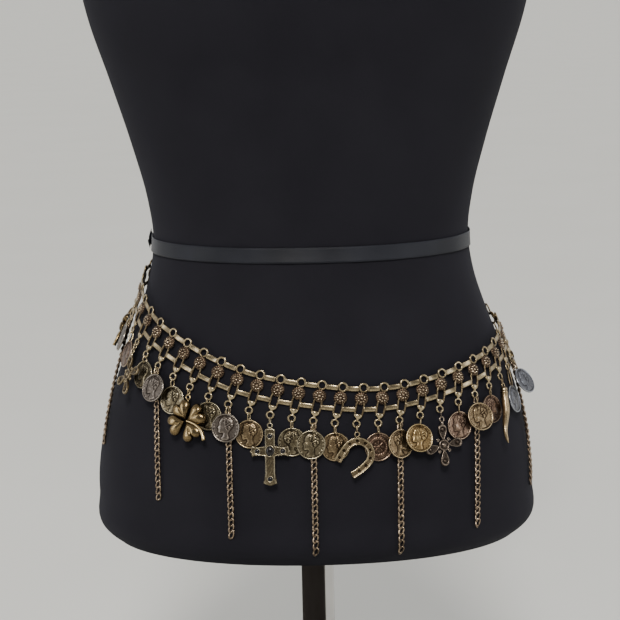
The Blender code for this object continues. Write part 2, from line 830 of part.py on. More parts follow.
def heading(column, place, goal):
    """Unit step, across and down, from one world point towards another."""
    along, up, _ = skin_axes(*column.chart(*column.leaned(0.0, ROSETTE_T)))
    way = Vector(((goal - place).dot(along), -(goal - place).dot(up)))
    return way.normalized()


def closure(columns, collection):
    """Clasp between the belt's ends, and the extender whose tail hangs from it."""
    last, first = columns[-1], columns[0]
    near, far = Vector(end_spot(1)), Vector(end_spot(-1))
    here, there = last.at(0, ROSETTE_T, *near), first.at(0, ROSETTE_T, *far)
    reach = END_RING_RADIUS + LENGTH_GAP

    way = heading(last, here, there)
    aside = Vector((way.y, -way.x))
    stations = (0.0, 2.5, CLASP_LENGTH - 3.0, CLASP_LENGTH)
    halves = (1.5, CLASP_HALF, CLASP_HALF, 1.5)
    outline, hole = [], []
    for side in (-1, 1):
        for x, half in list(zip(stations, halves))[::side]:
            outline.append(near + way * (reach + x) + aside * side * half)
            x = min(max(x, WIRE), CLASP_LENGTH - WIRE)
            hole.append(near + way * (reach + x) + aside * side * max(half - WIRE, 0.6))
    clasp = Lattice()
    clasp.strip(*[[last.at(0, ROSETTE_T, *spot) for spot in row] for row in (outline, hole)], closed=True)
    clasp.build("clasp", collection, "gold")

    tail = Lattice()
    tall = LINK_HALF * math.sin(math.pi / 3) + LINK_STRETCH
    hook = far + heading(first, there, here) * (END_RING_RADIUS + LINK_HALF + TAIL_GAP)
    for link in range(TAIL_LINKS):
        spot = (hook.x, hook.y + link * 2 * tall)
        tail.ring(first, 0, ROSETTE_T, *spot, LINK_HALF, LINK_HOLE, LINK_STRETCH)
    tail.build("extender", collection, "bronze")


def main():
    for obj in list(bpy.data.objects):
        bpy.data.objects.remove(obj)
    form = new_collection("dress_form")
    belt = new_collection("coin_belt")
    torso(form)
    neck_cap(form)
    stand(form)
    waist_tape(form)
    columns = belt_columns()
    belt_lengths(columns, belt)
    pendants(columns, belt)
    closure(columns, belt)


main()
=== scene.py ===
# %% [markdown]
# # A hip belt of coins and charms on a dress form
# The belt is antiqued brass all through: a ladder of wire loops and flat bars, with a rosette on
# every loop, and coins, charms and curb chains hanging from it. It is worn by a limbless form that
# is covered in black jersey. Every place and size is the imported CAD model's, worked out here by the
# same formulas. This script puts a finely shaped piece over each CAD node, and gives it a finish.

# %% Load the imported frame
from math import cos, exp, pi, radians, sin

import bpy
import numpy as np
from mathutils import Matrix, Vector


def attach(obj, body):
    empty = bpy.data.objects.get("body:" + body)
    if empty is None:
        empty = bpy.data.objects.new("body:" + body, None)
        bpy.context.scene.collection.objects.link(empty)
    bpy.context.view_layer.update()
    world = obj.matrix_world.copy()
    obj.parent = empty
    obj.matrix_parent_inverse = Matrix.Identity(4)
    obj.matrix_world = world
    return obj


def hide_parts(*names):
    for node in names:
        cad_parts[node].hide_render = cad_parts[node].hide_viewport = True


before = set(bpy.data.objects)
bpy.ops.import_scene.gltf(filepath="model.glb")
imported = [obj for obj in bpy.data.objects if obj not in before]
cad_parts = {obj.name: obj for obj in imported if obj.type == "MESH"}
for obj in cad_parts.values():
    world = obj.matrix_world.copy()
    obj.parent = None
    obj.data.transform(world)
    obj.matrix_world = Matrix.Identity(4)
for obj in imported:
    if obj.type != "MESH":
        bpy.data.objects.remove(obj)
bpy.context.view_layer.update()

MM = 0.001

# %% [markdown]
# ## Surfaces from grids
# Every shape below is a grid of rows, each row a closed ring of points. A grid can be filled in
# face by face, but the numbers of all its faces follow from the row and the place in the row, so
# one array sum gives them at once. A ring that shrinks to a point is closed by a fan of triangles.


# %% Faces of a grid
def ring_faces(rows, across, joined=False):
    """Face i, j joins points (i, j), (i, j+1), (i+1, j+1), (i+1, j); j wraps, and i too if joined."""
    i = np.arange(rows if joined else rows - 1)[:, None]
    j = np.arange(across)[None, :]
    after = (j + 1) % across
    below = (i + 1) % rows
    corners = [i * across + j, i * across + after, below * across + after, below * across + j]
    return np.stack(np.broadcast_arrays(*corners), -1).reshape(-1, 4).tolist()


def placed(name, data):
    """An object in the scene, at the origin."""
    made = bpy.data.objects.new(name, data)
    bpy.context.scene.collection.objects.link(made)
    return made


class Piece:
    """Gathers one piece's surfaces, each point's relief (with painted light on some wires) and each
    face's finish.
    """

    def __init__(self):
        self.points, self.faces, self.relief, self.finish, self.count = [], [], [], [], 0

    def add(self, points, faces, relief=0.6, finish=0, place=None):
        """Adds a surface, which a function of its points may move to its place."""
        points = np.asarray(points, float).reshape(-1, 3)
        self.points.append(place(points) if place else points)
        self.relief.append(np.broadcast_to(np.ravel(relief), (len(points),)))
        self.faces += [[corner + self.count for corner in face] for face in faces]
        self.finish += [finish] * len(faces)
        self.count += len(points)

    def rings(self, grid, start=None, end=None, joined=False, relief=0.6, **more):
        """A grid of rings; start and end are points that close the first and the last ring."""
        rows, across = grid.shape[:2]
        faces = ring_faces(rows, across, joined)
        points = grid.reshape(-1, 3)
        relief = np.broadcast_to(np.asarray(relief, float), (rows, across)).ravel()
        j = np.arange(across)
        after = (j + 1) % across
        for tip, row, *side in ((start, 0, after, j), (end, rows - 1, j, after)):
            if tip is not None:
                ring = row * across
                hub = np.full(across, len(points))
                faces += np.stack([hub, ring + side[0], ring + side[1]], -1).tolist()
                points = np.vstack([points, tip])
                relief = np.append(relief, relief[ring : ring + across].mean())
        self.add(points, faces, relief, **more)

    def join(self, other, place):
        """Adds another piece's surfaces, moved by a function of their points."""
        self.points.append(place(np.concatenate(other.points)))
        self.relief += other.relief
        self.faces += [[corner + self.count for corner in face] for face in other.faces]
        self.finish += other.finish
        self.count += other.count

    def lay(self, place):
        """Moves all the points by a function of them."""
        self.points = [place(points) for points in self.points]

    def mesh(self, name, finishes):
        made = bpy.data.meshes.new(name)
        made.from_pydata(np.concatenate(self.points).tolist(), [], self.faces)
        for finish in finishes:
            made.materials.append(finish)
        return made

    def build(self, name, finishes, replaced=()):
        """Makes the piece's object. It rides the root body and stands for the nodes it replaces."""
        mesh = self.mesh(name, finishes)
        raised = mesh.attributes.new("relief", "FLOAT", "POINT")
        raised.data.foreach_set("value", np.concatenate(self.relief).astype(np.float32))
        mesh.polygons.foreach_set("material_index", np.array(self.finish, np.int32))
        mesh.shade_smooth()
        mesh.update()
        made = placed(name, mesh)
        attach(made, "root")
        if replaced:
            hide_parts(*replaced)
        return made


print("a tube of 3 rings of 8 points has", len(ring_faces(3, 8)), "faces")


# %% Small helpers
def unit(vectors):
    return vectors / np.linalg.norm(vectors, axis=-1, keepdims=True)


def turns(count):
    """Angles at even steps round a circle."""
    return np.arange(count) * 2 * pi / count


def bell(x, wide):
    """A bell curve: exp(-(x / w)^2)."""
    return np.exp(-((x / wide) ** 2))


def clamp(x):
    """A value kept between 0 and 1."""
    return np.clip(x, 0, 1)


def level(flat, height):
    """Flat points (x, y) at a height."""
    return np.column_stack([flat, np.full(len(flat), height)])


def moved(*step):
    """A function that moves points by a step."""
    return lambda points: points + np.array(step)


def spin(degrees):
    """Matrix that turns rows of points (x, y, z) in the XY plane."""
    c, s = cos(radians(degrees)), sin(radians(degrees))
    return np.array([[c, s, 0], [-s, c, 0], [0, 0, 1]])


# %% Wires and lines
def sweep(piece, path, section, closed=False, **more):
    """Carries a section along a path: point = path + side * u + normal * v for each section (u, v).

    The side lies across the path in its plane, and the normal stands out of that plane.
    """
    step = np.roll(path, -1, 0) - np.roll(path, 1, 0) if closed else np.gradient(path, axis=0)
    step = unit(step)
    side = unit(np.cross([0.0, 0.0, 1.0], step))
    normal = np.cross(step, side)
    grid = path[:, None] + side[:, None] * section[..., :1] + normal[:, None] * section[..., 1:]
    ends = (None, None) if closed else (path[0], path[-1])
    piece.rings(grid, *ends, joined=closed, **more)


def wire(piece, path, radius, sides=8, closed=False, flat=1.0, bright=0.58, **more):
    """A round wire along a path: circle (r cos a, r sin a), brighter where it faces out."""
    a = turns(sides)
    radius = np.broadcast_to(radius, (len(path),))[:, None]
    section = np.stack([radius * np.cos(a), radius * np.sin(a) * flat], -1)
    sweep(piece, path, section, closed, relief=bright + 0.3 * np.sin(a) + 0 * radius, **more)


def oval(half_wide, half_long, count, centre=(0.0, 0.0, 0.0)):
    """Points on an ellipse in the XY plane: (a cos t, b sin t)."""
    t = turns(count)
    return np.stack([half_wide * np.cos(t), half_long * np.sin(t), 0 * t], -1) + centre


def lathe(profile, sides, deep=1.0):
    """Rings of a profile (radius, height) round the upright axis: (r cos a, d r sin a, h)."""
    a = turns(sides)
    r, h = profile[:, :1], profile[:, 1:]
    return np.stack([r * np.cos(a), deep * r * np.sin(a), h + 0 * a], -1)


def rounded(points, times=3, closed=False):
    """A smooth line by cutting corners: each step keeps the quarter points of every side."""
    points = np.asarray(points, float)
    for _ in range(times):
        after = np.roll(points, -1, 0) if closed else points[1:]
        before = points if closed else points[:-1]
        cut = np.stack([0.75 * before + 0.25 * after, 0.25 * before + 0.75 * after], 1)
        cut = cut.reshape(-1, points.shape[1])
        points = cut if closed else np.vstack([points[:1], cut, points[-1:]])
    return points


def spaced(points, count, closed=False):
    """The same line with points at even steps of its length."""
    points = np.vstack([points, points[:1]]) if closed else np.asarray(points, float)
    run = np.append(0.0, np.cumsum(np.linalg.norm(np.diff(points, axis=0), axis=1)))
    at = np.linspace(0, run[-1], count + 1)[:-1] if closed else np.linspace(0, run[-1], count)
    return np.stack([np.interp(at, run, column) for column in points.T], -1)


# %% Stamped plates
def stamped(piece, outline, centre, fractions, shape, back, edge, **more):
    """A stamped plate: rings shrink to the centre, p = centre + s (outline - centre).

    shape(x, y, s) gives each point's height and how raised it looks. The back is flat.
    """
    s = np.asarray(fractions, float)
    flat = centre + s[:, None, None] * (outline - centre)
    height, raised = shape(flat[..., 0], flat[..., 1], s[:, None] + 0 * flat[..., 0])
    front = np.concatenate([flat, height[..., None]], -1)
    middle = np.array([[centre[0], centre[1]]])
    top, lit = shape(middle[:, 0], middle[:, 1], np.zeros(1))
    rim = centre + edge * (outline - centre)
    rear = centre + np.array([0.55, 0.97])[:, None, None] * (outline - centre)
    lower = np.concatenate([rear, np.full((*rear.shape[:2], 1), back)], -1)
    waist = np.stack([level(rim, back + 0.12), level(rim, back * 0.4 + height[0].mean() * 0.6)])
    grid = np.concatenate([lower, waist, front])
    low = np.full((4, len(outline)), 0.35)
    low[3] = 0.75
    relief = np.concatenate([low, raised])
    piece.rings(grid, [*centre, back], [*centre, top[0]], relief=relief, **more)


# %% [markdown]
# ## The form's skin
# The form is a padded torso. A sculpted mesh would do, but everything on the belt has to lie on it,
# so the torso is one formula: at each level a rounded ellipse, whose half width and depths come
# from smooth curves through a table of measured levels. The same formula gives the direction
# straight out of the skin, which seats the belt on it.

# %% Torso formula
FORM_ROUND = 2.15
WAIST_Z = 0.448
TINY = 1e-4
#    height, half width, front, back, in mm
FORM = np.array([
    (-236, 159.0, 105.0, 105.0), (-229, 167.5, 113.0, 113.5), (-200, 171.6, 116.0, 118.0),
    (-160, 168.0, 114.0, 118.0), (-120, 157.5, 109.0, 112.0), (-90, 147.0, 104.0, 103.0),
    (-60, 135.5, 98.0, 93.0), (-30, 126.0, 93.0, 85.0), (0, 122.0, 90.0, 82.0),
    (30, 125.5, 92.0, 84.0), (70, 135.5, 97.0, 89.0), (120, 150.5, 106.0, 96.0),
    (170, 166.0, 118.0, 102.0), (215, 174.0, 124.0, 105.0), (255, 176.0, 115.0, 104.0),
    (295, 174.0, 98.0, 99.0), (325, 164.0, 82.0, 90.0), (350, 138.0, 69.0, 79.0),
    (368, 102.0, 60.0, 69.0), (382, 74.0, 54.5, 61.0), (400, 58.0, 51.0, 55.0),
    (430, 54.0, 50.0, 52.0),
]) / 1000  # fmt: skip


def curve_through(x, table, column):
    """Cubic pieces through a table, each with the slopes of its two ends."""
    xs, ys = table[:, 0], table[:, column]
    slopes = np.gradient(ys, xs)
    i = np.clip(np.searchsorted(xs, x) - 1, 0, len(xs) - 2)
    span = xs[i + 1] - xs[i]
    s = (x - xs[i]) / span
    return (
        ys[i] * (1 + 2 * s) * (1 - s) ** 2
        + ys[i + 1] * s * s * (3 - 2 * s)
        + span * slopes[i] * s * (1 - s) ** 2
        - span * slopes[i + 1] * s * s * (1 - s)
    )


def skin(angle, height):
    """Points on the torso: at each level |x / half width| ** n + |y / depth| ** n = 1, n = 2.15."""
    angle, height = np.broadcast_arrays(np.asarray(angle, float), np.asarray(height, float))
    side, ahead = np.sin(angle), np.cos(angle)
    half_width = curve_through(height, FORM, 1)
    depth = np.where(ahead > 0, curve_through(height, FORM, 2), curve_through(height, FORM, 3))
    n = FORM_ROUND
    reach = (abs(side / half_width) ** n + abs(ahead / depth) ** n) ** (-1 / n)
    return np.stack([reach * side, -reach * ahead, height + WAIST_Z], -1)


def skin_axes(angle, height):
    """Unit vectors along the girth, up the skin and out of it, from small steps on the skin."""
    along = unit(skin(angle + TINY, height) - skin(angle - TINY, height))
    out = unit(np.cross(along, skin(angle, height + TINY) - skin(angle, height - TINY)))
    return along, np.cross(out, along), out


print("half width of the waist", round(float(skin(pi / 2, 0.0)[0]), 4), "m")

# %% [markdown]
# ## The belt line
# The belt hangs lower at the front than at the back. Its 48 columns sit at even steps along that
# line, and each one leans a little. A column has its own chart of the skin, in millimetres across
# and down, so a part that is drawn flat can be laid on the round hip, as a tailor lays a pattern.

# %% Columns
#    angle, height in m
BELT_LINE = np.array([
    (-180, -0.0340), (-150, -0.0260), (-120, -0.0230), (-90, -0.0290), (-60, -0.0585), (-30, -0.0840),
    (0, -0.0957), (30, -0.0997), (60, -0.0885), (90, -0.0705), (120, -0.0570), (150, -0.0450),
    (180, -0.0340),
])  # fmt: skip
COLUMNS, PITCH, FRONT_COLUMN, FRONT_ANGLE = 48, 0.0151, 34, 3.4
LEAN = radians(15.6)
PLATE_OFF = 1.4
RING_T = 28.8
PIVOT_BELOW_RING = 2.1
PUSH = 2.6
STAND_OFF, STAND_ANGLE, STAND_SPREAD = 3.4, radians(92), radians(62)


def stand_off(angle):
    """Millimetres by which the stiff belt stands further off at the sides: a bell curve."""
    turned = (angle + pi) % (2 * pi) - pi
    return STAND_OFF * exp(-(((abs(turned) - STAND_ANGLE) / STAND_SPREAD) ** 2))


def belt_height(angle):
    turned = (np.degrees(angle) + 180.0) % 360.0 - 180.0
    return curve_through(turned, BELT_LINE, 1)


def walk(angle, distance):
    """Angles reached by going these distances along the belt line, in 24 small steps."""
    angle = angle + 0 * np.asarray(distance, float)
    for _ in range(24):
        ahead = skin(angle + TINY, belt_height(angle + TINY)) - skin(angle, belt_height(angle))
        angle = angle + np.asarray(distance) / 24 * TINY / np.linalg.norm(ahead, axis=-1)
    return angle


def fall(angle, height):
    """Unit vectors down the skin, as things hang: straight at the front, pushed out at the sides."""
    out = skin_axes(angle, height)[2]
    facing = np.arctan2(out[..., 0], -out[..., 1])
    quarter = pi / 2
    pushed = np.copysign(quarter * (abs(facing) / quarter) ** PUSH, facing)
    pushed = np.where(abs(facing) > quarter, facing, pushed)
    sideways = np.stack([np.cos(pushed), np.sin(pushed), 0 * pushed], -1)
    way = unit(np.cross(sideways, out))
    return way * np.copysign(1.0, -way[..., 2:])


class Column:
    """One column's chart: millimetres across and up from the middle of its arch, laid on the skin."""

    def __init__(self, angle):
        self.angle = float(angle)
        self.height = float(belt_height(angle))
        self.off = stand_off(self.angle)
        self.slope = float(np.arcsin(
            (belt_height(walk(angle, PITCH / 2)) - belt_height(walk(angle, -PITCH / 2))) / PITCH
        ))  # fmt: skip
        self.levels = np.arange(self.height + 0.012, -0.2355, -0.0015)
        down = skin(angle, self.levels)
        run = np.append(0.0, np.cumsum(np.linalg.norm(np.diff(down, axis=0), axis=1)))
        self.run = run - np.interp(-self.height, -self.levels, run)

    def spot(self, across, up):
        height = np.interp(-np.asarray(up) * MM, self.run, self.levels)
        step = skin(self.angle + TINY, height) - skin(self.angle, height)
        rate = np.linalg.norm(step, axis=-1) / TINY
        return self.angle + across * MM / rate, height

    def lay(self, points):
        """World points of flat ones (across, up, off)."""
        angle, height = self.spot(points[..., 0], points[..., 1])
        return skin(angle, height) + skin_axes(angle, height)[2] * (points[..., 2:] + self.off) * MM

    def lean(self, points):
        """The same, for a flat part that leans as a whole with the column."""
        x, y = points[..., 0], points[..., 1]
        turned = [x * cos(LEAN) + y * sin(LEAN), y * cos(LEAN) - x * sin(LEAN)]
        return self.lay(np.stack([*turned, points[..., 2]], -1))

    def bar_end(self, x, y):
        """Flat place of a bar's end, which follows the belt line's slope."""
        return np.array([
            x * cos(self.slope) + y * sin(LEAN),
            x * sin(self.slope) + y * cos(LEAN),
            PLATE_OFF,
        ])


steps = (np.arange(COLUMNS) - FRONT_COLUMN) * PITCH
columns = [Column(angle) for angle in walk(radians(FRONT_ANGLE), steps)]
print(len(columns), "columns, the first at", round(columns[0].height, 4), "m from the waist")

# %% [markdown]
# ## Finishes
# The brass is cast, dipped dark and rubbed back, so hollows stay brown-black and raised places
# shine. Each point of a piece carries how raised it is, and a colour ramp turns that, with a little
# noise, into the patina. On each column's wire arch and loop legs that value also carries painted
# light: a painted highlight on the top of the arch, and painted shade at its bottom and on the legs.
# Dirt could be painted by hand, but this way it follows the shape. The nodes are added by short
# calls, so a material reads as the list of its layers.


# %% Nodes
class Nodes:
    """Short calls that add nodes to a material or a world; each gives the socket that it makes."""

    def __init__(self, owner):
        owner.use_nodes = True
        self.owner, self.tree = owner, owner.node_tree

    def set(self, node, inputs):
        """Links the inputs that are given as sockets, and sets the others to their values."""
        for key, value in inputs.items():
            if isinstance(value, bpy.types.NodeSocket):
                self.tree.links.new(value, node.inputs[key])
            else:
                node.inputs[key].default_value = value

    def node(self, kind, output, inputs, **settings):
        made = self.tree.nodes.new("ShaderNode" + kind)
        for key, value in settings.items():
            setattr(made, key, value)
        self.set(made, inputs)
        return made.outputs[output]

    def noise(self, scale, detail=3.0):
        place = self.node("TexCoord", "Object", {})
        return self.node("TexNoise", "Fac", {"Scale": scale, "Detail": detail, "Vector": place})

    def scaled(self, value, low, high, start=0.0, end=1.0):
        """A value moved from one span to another."""
        spans = {"From Min": start, "From Max": end, "To Min": low, "To Max": high}
        return self.node("MapRange", "Result", {"Value": value, **spans})

    def added(self, first, second):
        return self.node("Math", "Value", {0: first, 1: second}, operation="ADD")

    def ramp(self, value, *stops):
        made = self.node("ValToRGB", "Color", {"Fac": value})
        band = made.node.color_ramp
        while len(band.elements) < len(stops):
            band.elements.new(0.5)
        for element, (place, colour) in zip(band.elements, stops):
            element.position, element.color = place, (*colour, 1.0)
        return made

    def bump(self, height, strength, distance):
        inputs = {"Height": height, "Strength": strength, "Distance": distance}
        return {"Normal": self.node("Bump", "Normal", inputs)}

    def surface(self, colour, roughness, **others):
        """Ends a material: its colour, its roughness and its other inputs."""
        inputs = {"Base Color": colour, "Roughness": roughness, **others}
        self.set(self.tree.nodes["Principled BSDF"], inputs)
        return self.owner


def material(name):
    return Nodes(bpy.data.materials.new(name))


# %% Finishes of the metal
def rubbed_metal(name, deep, middle, bright, rough, blotch):
    """Antiqued metal: colour ramp over relief + blotches of noise, rougher where it is dark."""
    metal = material(name)
    relief = metal.node("Attribute", "Fac", {}, attribute_name="relief")
    blotches = metal.scaled(metal.noise(260.0, 5.0), -blotch, blotch, 0.25, 0.75)
    pits = metal.scaled(metal.noise(1300.0, 2.0), -0.16, 0.16, 0.3, 0.7)
    worn = metal.added(relief, metal.added(blotches, pits))
    colour = metal.ramp(worn, (0.12, deep), (0.50, middle), (0.92, bright))
    roughness = metal.scaled(worn, rough[1], rough[0], 0.2, 0.9)
    grain = metal.bump(metal.noise(2400.0, 2.0), 0.25, 0.00012)
    return metal.surface(colour, roughness, Metallic=1.0, **grain)


#    hollows, middle and raised places, in thousandths of red, green and blue
METALS = {
    "brass": ((18, 12, 7), (120, 88, 50), (410, 330, 200)),
    "rosette": ((20, 12, 8), (140, 96, 62), (560, 450, 310)),
    "chain": ((10, 7, 5), (48, 32, 21), (480, 370, 260)),
    "olive": ((18, 14, 9), (105, 84, 50), (390, 335, 225)),
    "pewter": ((24, 18, 14), (130, 108, 90), (280, 243, 206)),
    "umber": ((12, 9, 7), (76, 59, 46), (275, 220, 170)),
    "copper": ((26, 14, 10), (130, 84, 58), (330, 240, 170)),
    "brown": ((26, 16, 9), (145, 102, 56), (380, 290, 170)),
    "gold": ((40, 23, 9), (205, 134, 58), (490, 370, 195)),
    "satin_gold": ((30, 19, 9), (158, 110, 52), (440, 325, 165)),
    "bluish": ((34, 34, 38), (130, 133, 146), (300, 312, 342)),
}
USUAL, SMOOTH = ((0.24, 0.46), 0.16), ((0.15, 0.30), 0.08)
metals = {
    name: rubbed_metal(name, *np.array(colours) / 1000, *(SMOOTH if name == "satin_gold" else USUAL))
    for name, colours in METALS.items()
}


def dark_stone():
    """Black glass cabochon with a faint cloud in it."""
    glass = material("dark_stone")
    cloud = glass.noise(500.0)
    colour = glass.ramp(cloud, (0.3, (0.003, 0.003, 0.003)), (0.8, (0.016, 0.012, 0.011)))
    return glass.surface(colour, glass.scaled(cloud, 0.10, 0.25), **{"Specular IOR Level": 0.3})


stone = dark_stone()
print("metal finishes", sorted(metals))

# %% [markdown]
# ## Rosette, loops, collar and jump ring
# One casting is repeated 48 times: a wire arch, a granulated rosette, a tapering loop, and a collar
# that pinches it shut over a jump ring. It is worked out once, flat, and then laid on the skin at
# every column. Copies of one object would be lighter, but each copy has to bend with the hip.

# %% One column, flat, in millimetres
WIRE_RADIUS = 0.76
#              beads  ring  start  tall  wide
BEAD_RINGS = ((8, 2.55, 0.0, 1.05, 0.66), (16, 4.25, 0.5, 0.45, 0.55))


def rosette_shape(x, y, s):
    """Height of the rosette: a low dome, a bead in the middle, two rings of beads, and a rim."""
    r, a = np.hypot(x, y), np.arctan2(y, x)
    beads = 0.95 * bell(r, 0.78)
    for count, ring, start, tall, wide in BEAD_RINGS:
        around = count * a / (2 * pi) + start
        off = (around - np.round(around)) * 2 * pi / count * ring
        beads = beads + tall * bell(np.hypot(r - ring, off), wide)
    dome = 1.55 + 0.85 * (1 - (r / 4.9) ** 2)
    return dome + beads - 0.5 * s**8, clamp(0.12 + beads)


kit = Piece()
ring_line = oval(2.95, 3.0, 24, (0.0, -1.75, PLATE_OFF))
# The arch's brightness rises towards its top: a painted highlight on top of the arch, painted shade at
# its bottom.
wire(kit, ring_line, WIRE_RADIUS, closed=True, bright=0.50 + 0.05 * (ring_line[:, 1:2] + 1.75))
loop = rounded([(-2.2, -12.8), (-2.9, -14.2), (-2.9, -18.0), (-2.7, -22.2)], 2)
# The legs of the loop get a lower brightness than other wire: painted shade.
for side in (-1, 1):
    wire(kit, level(loop * [side, 1], PLATE_OFF), WIRE_RADIUS, bright=0.28)
rim = oval(4.95, 4.95, 64)[:, :2]
steps = np.concatenate([np.linspace(1, 0.8, 5), np.linspace(0.74, 0.38, 7), [0.30, 0.22, 0.15, 0.08]])
place = moved(0, -9.8, 0)
stamped(kit, rim, np.zeros(2), steps, rosette_shape, 0.9, 1.01, finish=2, place=place)

levels = np.array([-21.3, -21.6, -22.4, -23.4, -24.3, -24.9, -25.4, -26.6])
wide = np.array([2.3, 3.0, 3.2, 3.05, 2.4, 1.4, 0.9, 0.6])
thick = np.array([0.7, 1.3, 1.6, 1.5, 1.25, 0.9, 0.7, 0.5])
a = turns(12)
collar = np.stack([
    -wide[:, None] * np.cos(a), levels[:, None] + 0 * a, PLATE_OFF + thick[:, None] * np.sin(a)
], -1)[:, ::-1]  # fmt: skip
ends = [0, levels[0], PLATE_OFF], [0, levels[-1], PLATE_OFF]
kit.rings(collar, *ends, relief=0.70 + 0.28 * np.sin(a)[::-1])
wire(kit, oval(2.45, 2.45, 20, (0, -RING_T, PLATE_OFF)), 0.70, closed=True)
print("one column", len(kit.faces), "faces")

# %% [markdown]
# ## Bars and chains
# The bars are flat strips, rolled at their ends round the loops. The chains are curb chains: each
# link is an oval that is twisted until it lies flat, so the links overlap like scales. A chain
# could be simulated. Here it only hangs, so its line is found by small steps down the skin.

# %% Bars between two columns
BAR_MIDDLE, LOWER_BAR_MIDDLE = -2.6, -18.0


def add_bars(piece, here, there, gap):
    """Two strips: a rounded oblong section, 3.6 mm by 1.1 mm, thicker where its ends are rolled."""
    a = turns(12)
    section_up = np.sign(np.cos(a)) * abs(np.cos(a)) ** 0.3
    section_out = np.sign(np.sin(a)) * abs(np.sin(a)) ** 0.5
    along = np.array([0.0, 0.015, 0.06, 0.10, 0.16, 0.5, 0.84, 0.90, 0.94, 0.985, 1.0])
    fat = np.array([0.35, 0.75, 0.85, 0.75, 0.52, 0.52, 0.52, 0.75, 0.85, 0.75, 0.35])
    for half, middle, tall in ((3.25, BAR_MIDDLE, 1.85), (3.0, LOWER_BAR_MIDDLE, 1.75)):
        start = here.lay(here.bar_end(half, middle)[None])[0]
        end = there.lay(there.bar_end(-half - gap, middle)[None])[0]
        out = unit(skin_axes(*here.spot(half, middle))[2] + skin_axes(*there.spot(-half, middle))[2])
        way = unit(end - start)
        up = unit(np.cross(out, way))
        out = np.cross(way, up)
        line = start + along[:, None] * (end - start) + np.sin(along * pi)[:, None] * out * 0.25 * MM
        wide, thick = up * (section_up * tall * MM)[:, None], out * (section_out * MM)[:, None]
        grid = line[:, None] + wide + thick * fat[:, None, None]
        lit = 0.62 + 0.22 * np.sin(a) - 0.16 * (fat[:, None] > 0.6)
        piece.rings(grid, start, end, relief=lit)


# %% Curb chains
CHAIN_LENGTH, LINK_PITCH = 98.0, 4.6


def chain_line(column, length, steps=70):
    """Spots down the skin from the jump ring, each a small step further in the way things hang."""
    line = [column.spot(-RING_T * sin(LEAN), -(RING_T * cos(LEAN) + 2.6))]
    step = length * MM / steps
    for _ in range(steps):
        angle, height = line[-1]
        here = skin(angle, height)
        by_angle = (skin(angle + TINY, height) - here) / TINY
        by_height = (skin(angle, height + TINY) - here) / TINY
        way = fall(angle, height) * step
        aside = (way - by_height * way[2]) @ by_angle / (by_angle @ by_angle)
        line.append((angle + aside, height + way[2]))
    return np.array(line)


def add_chain(piece, column):
    """Links at even steps; a link's centre line is (a cos t + e sin t, b sin t, c cos t sin t)."""
    spots = chain_line(column, CHAIN_LENGTH)
    count = int(CHAIN_LENGTH / LINK_PITCH)
    at = (np.arange(count) + 0.5) * LINK_PITCH / CHAIN_LENGTH * (len(spots) - 1)
    index = np.arange(len(spots))
    angle, height = np.interp(at, index, spots[:, 0]), np.interp(at, index, spots[:, 1])
    out, down = skin_axes(angle, height)[2], fall(angle, height)
    across = np.cross(-down, out)
    away = 1.4 + column.off * (1 - at / (len(spots) - 1))
    middle = skin(angle, height) + out * away[:, None] * MM
    t = turns(14)
    u, v = np.cos(t), np.sin(t)
    bend = np.stack([1.65 * u + 0.75 * v, 3.2 * v, 1.3 * u * v], -1)
    for i in range(count):
        turn = np.stack([across[i], -down[i], out[i]])
        place = lambda flat: middle[i] + flat @ turn * MM
        wire(piece, bend, 0.76, 6, True, flat=0.85, bright=0.44, finish=1, place=place)


# %% [markdown]
# ## The ladder
# The real belt is one long strip. The CAD model keeps it in six lengths of eight columns, so each
# piece here is one length: its columns, its bars and the two chains that hang from it.

# %% Lengths of the belt
PER_LENGTH, REPEAT, CHARM_AT, CHAIN_AT, LENGTH_GAP = 8, 4, 0, 2, 0.5
ROSETTE_T, ROSETTE_RADIUS = 9.8, 4.7
END_RING = 2 * ROSETTE_RADIUS * sin(pi / 8)
END_RING_X = ROSETTE_RADIUS * cos(pi / 8) + END_RING * cos(pi / 6)

for number in range(COLUMNS // PER_LENGTH):
    strip = Piece()
    first = number * PER_LENGTH
    for i in range(first, first + PER_LENGTH):
        strip.join(kit, columns[i].lean)
        if i % REPEAT == CHAIN_AT:
            add_chain(strip, columns[i])
        if i + 1 < COLUMNS:
            gap = LENGTH_GAP if i == first + PER_LENGTH - 1 else 0.0
            add_bars(strip, columns[i], columns[i + 1], gap)
        if i in (0, COLUMNS - 1):
            middle = (END_RING_X if i else -END_RING_X, -ROSETTE_T, PLATE_OFF)
            wire(strip, oval(2.95, 2.95, 24, middle), 0.62, closed=True, place=columns[i].lean)
    name = f"belt_length_{number + 1}"
    strip.build(f"{name}_fine", [metals["brass"], metals["chain"], metals["rosette"]], [name])
    print(name, len(strip.faces), "faces")

# %% [markdown]
# ## Coins
# The coins are stamped discs with a raised rim, a ring of strokes, and a head in profile. The head
# is a design of its own: the face is in thirds from the hair to the brow, to the base of the nose,
# to the chin, and the eye is halfway down the head. An outline and its inside distance give the
# relief, which swells from the edge as a struck coin does.

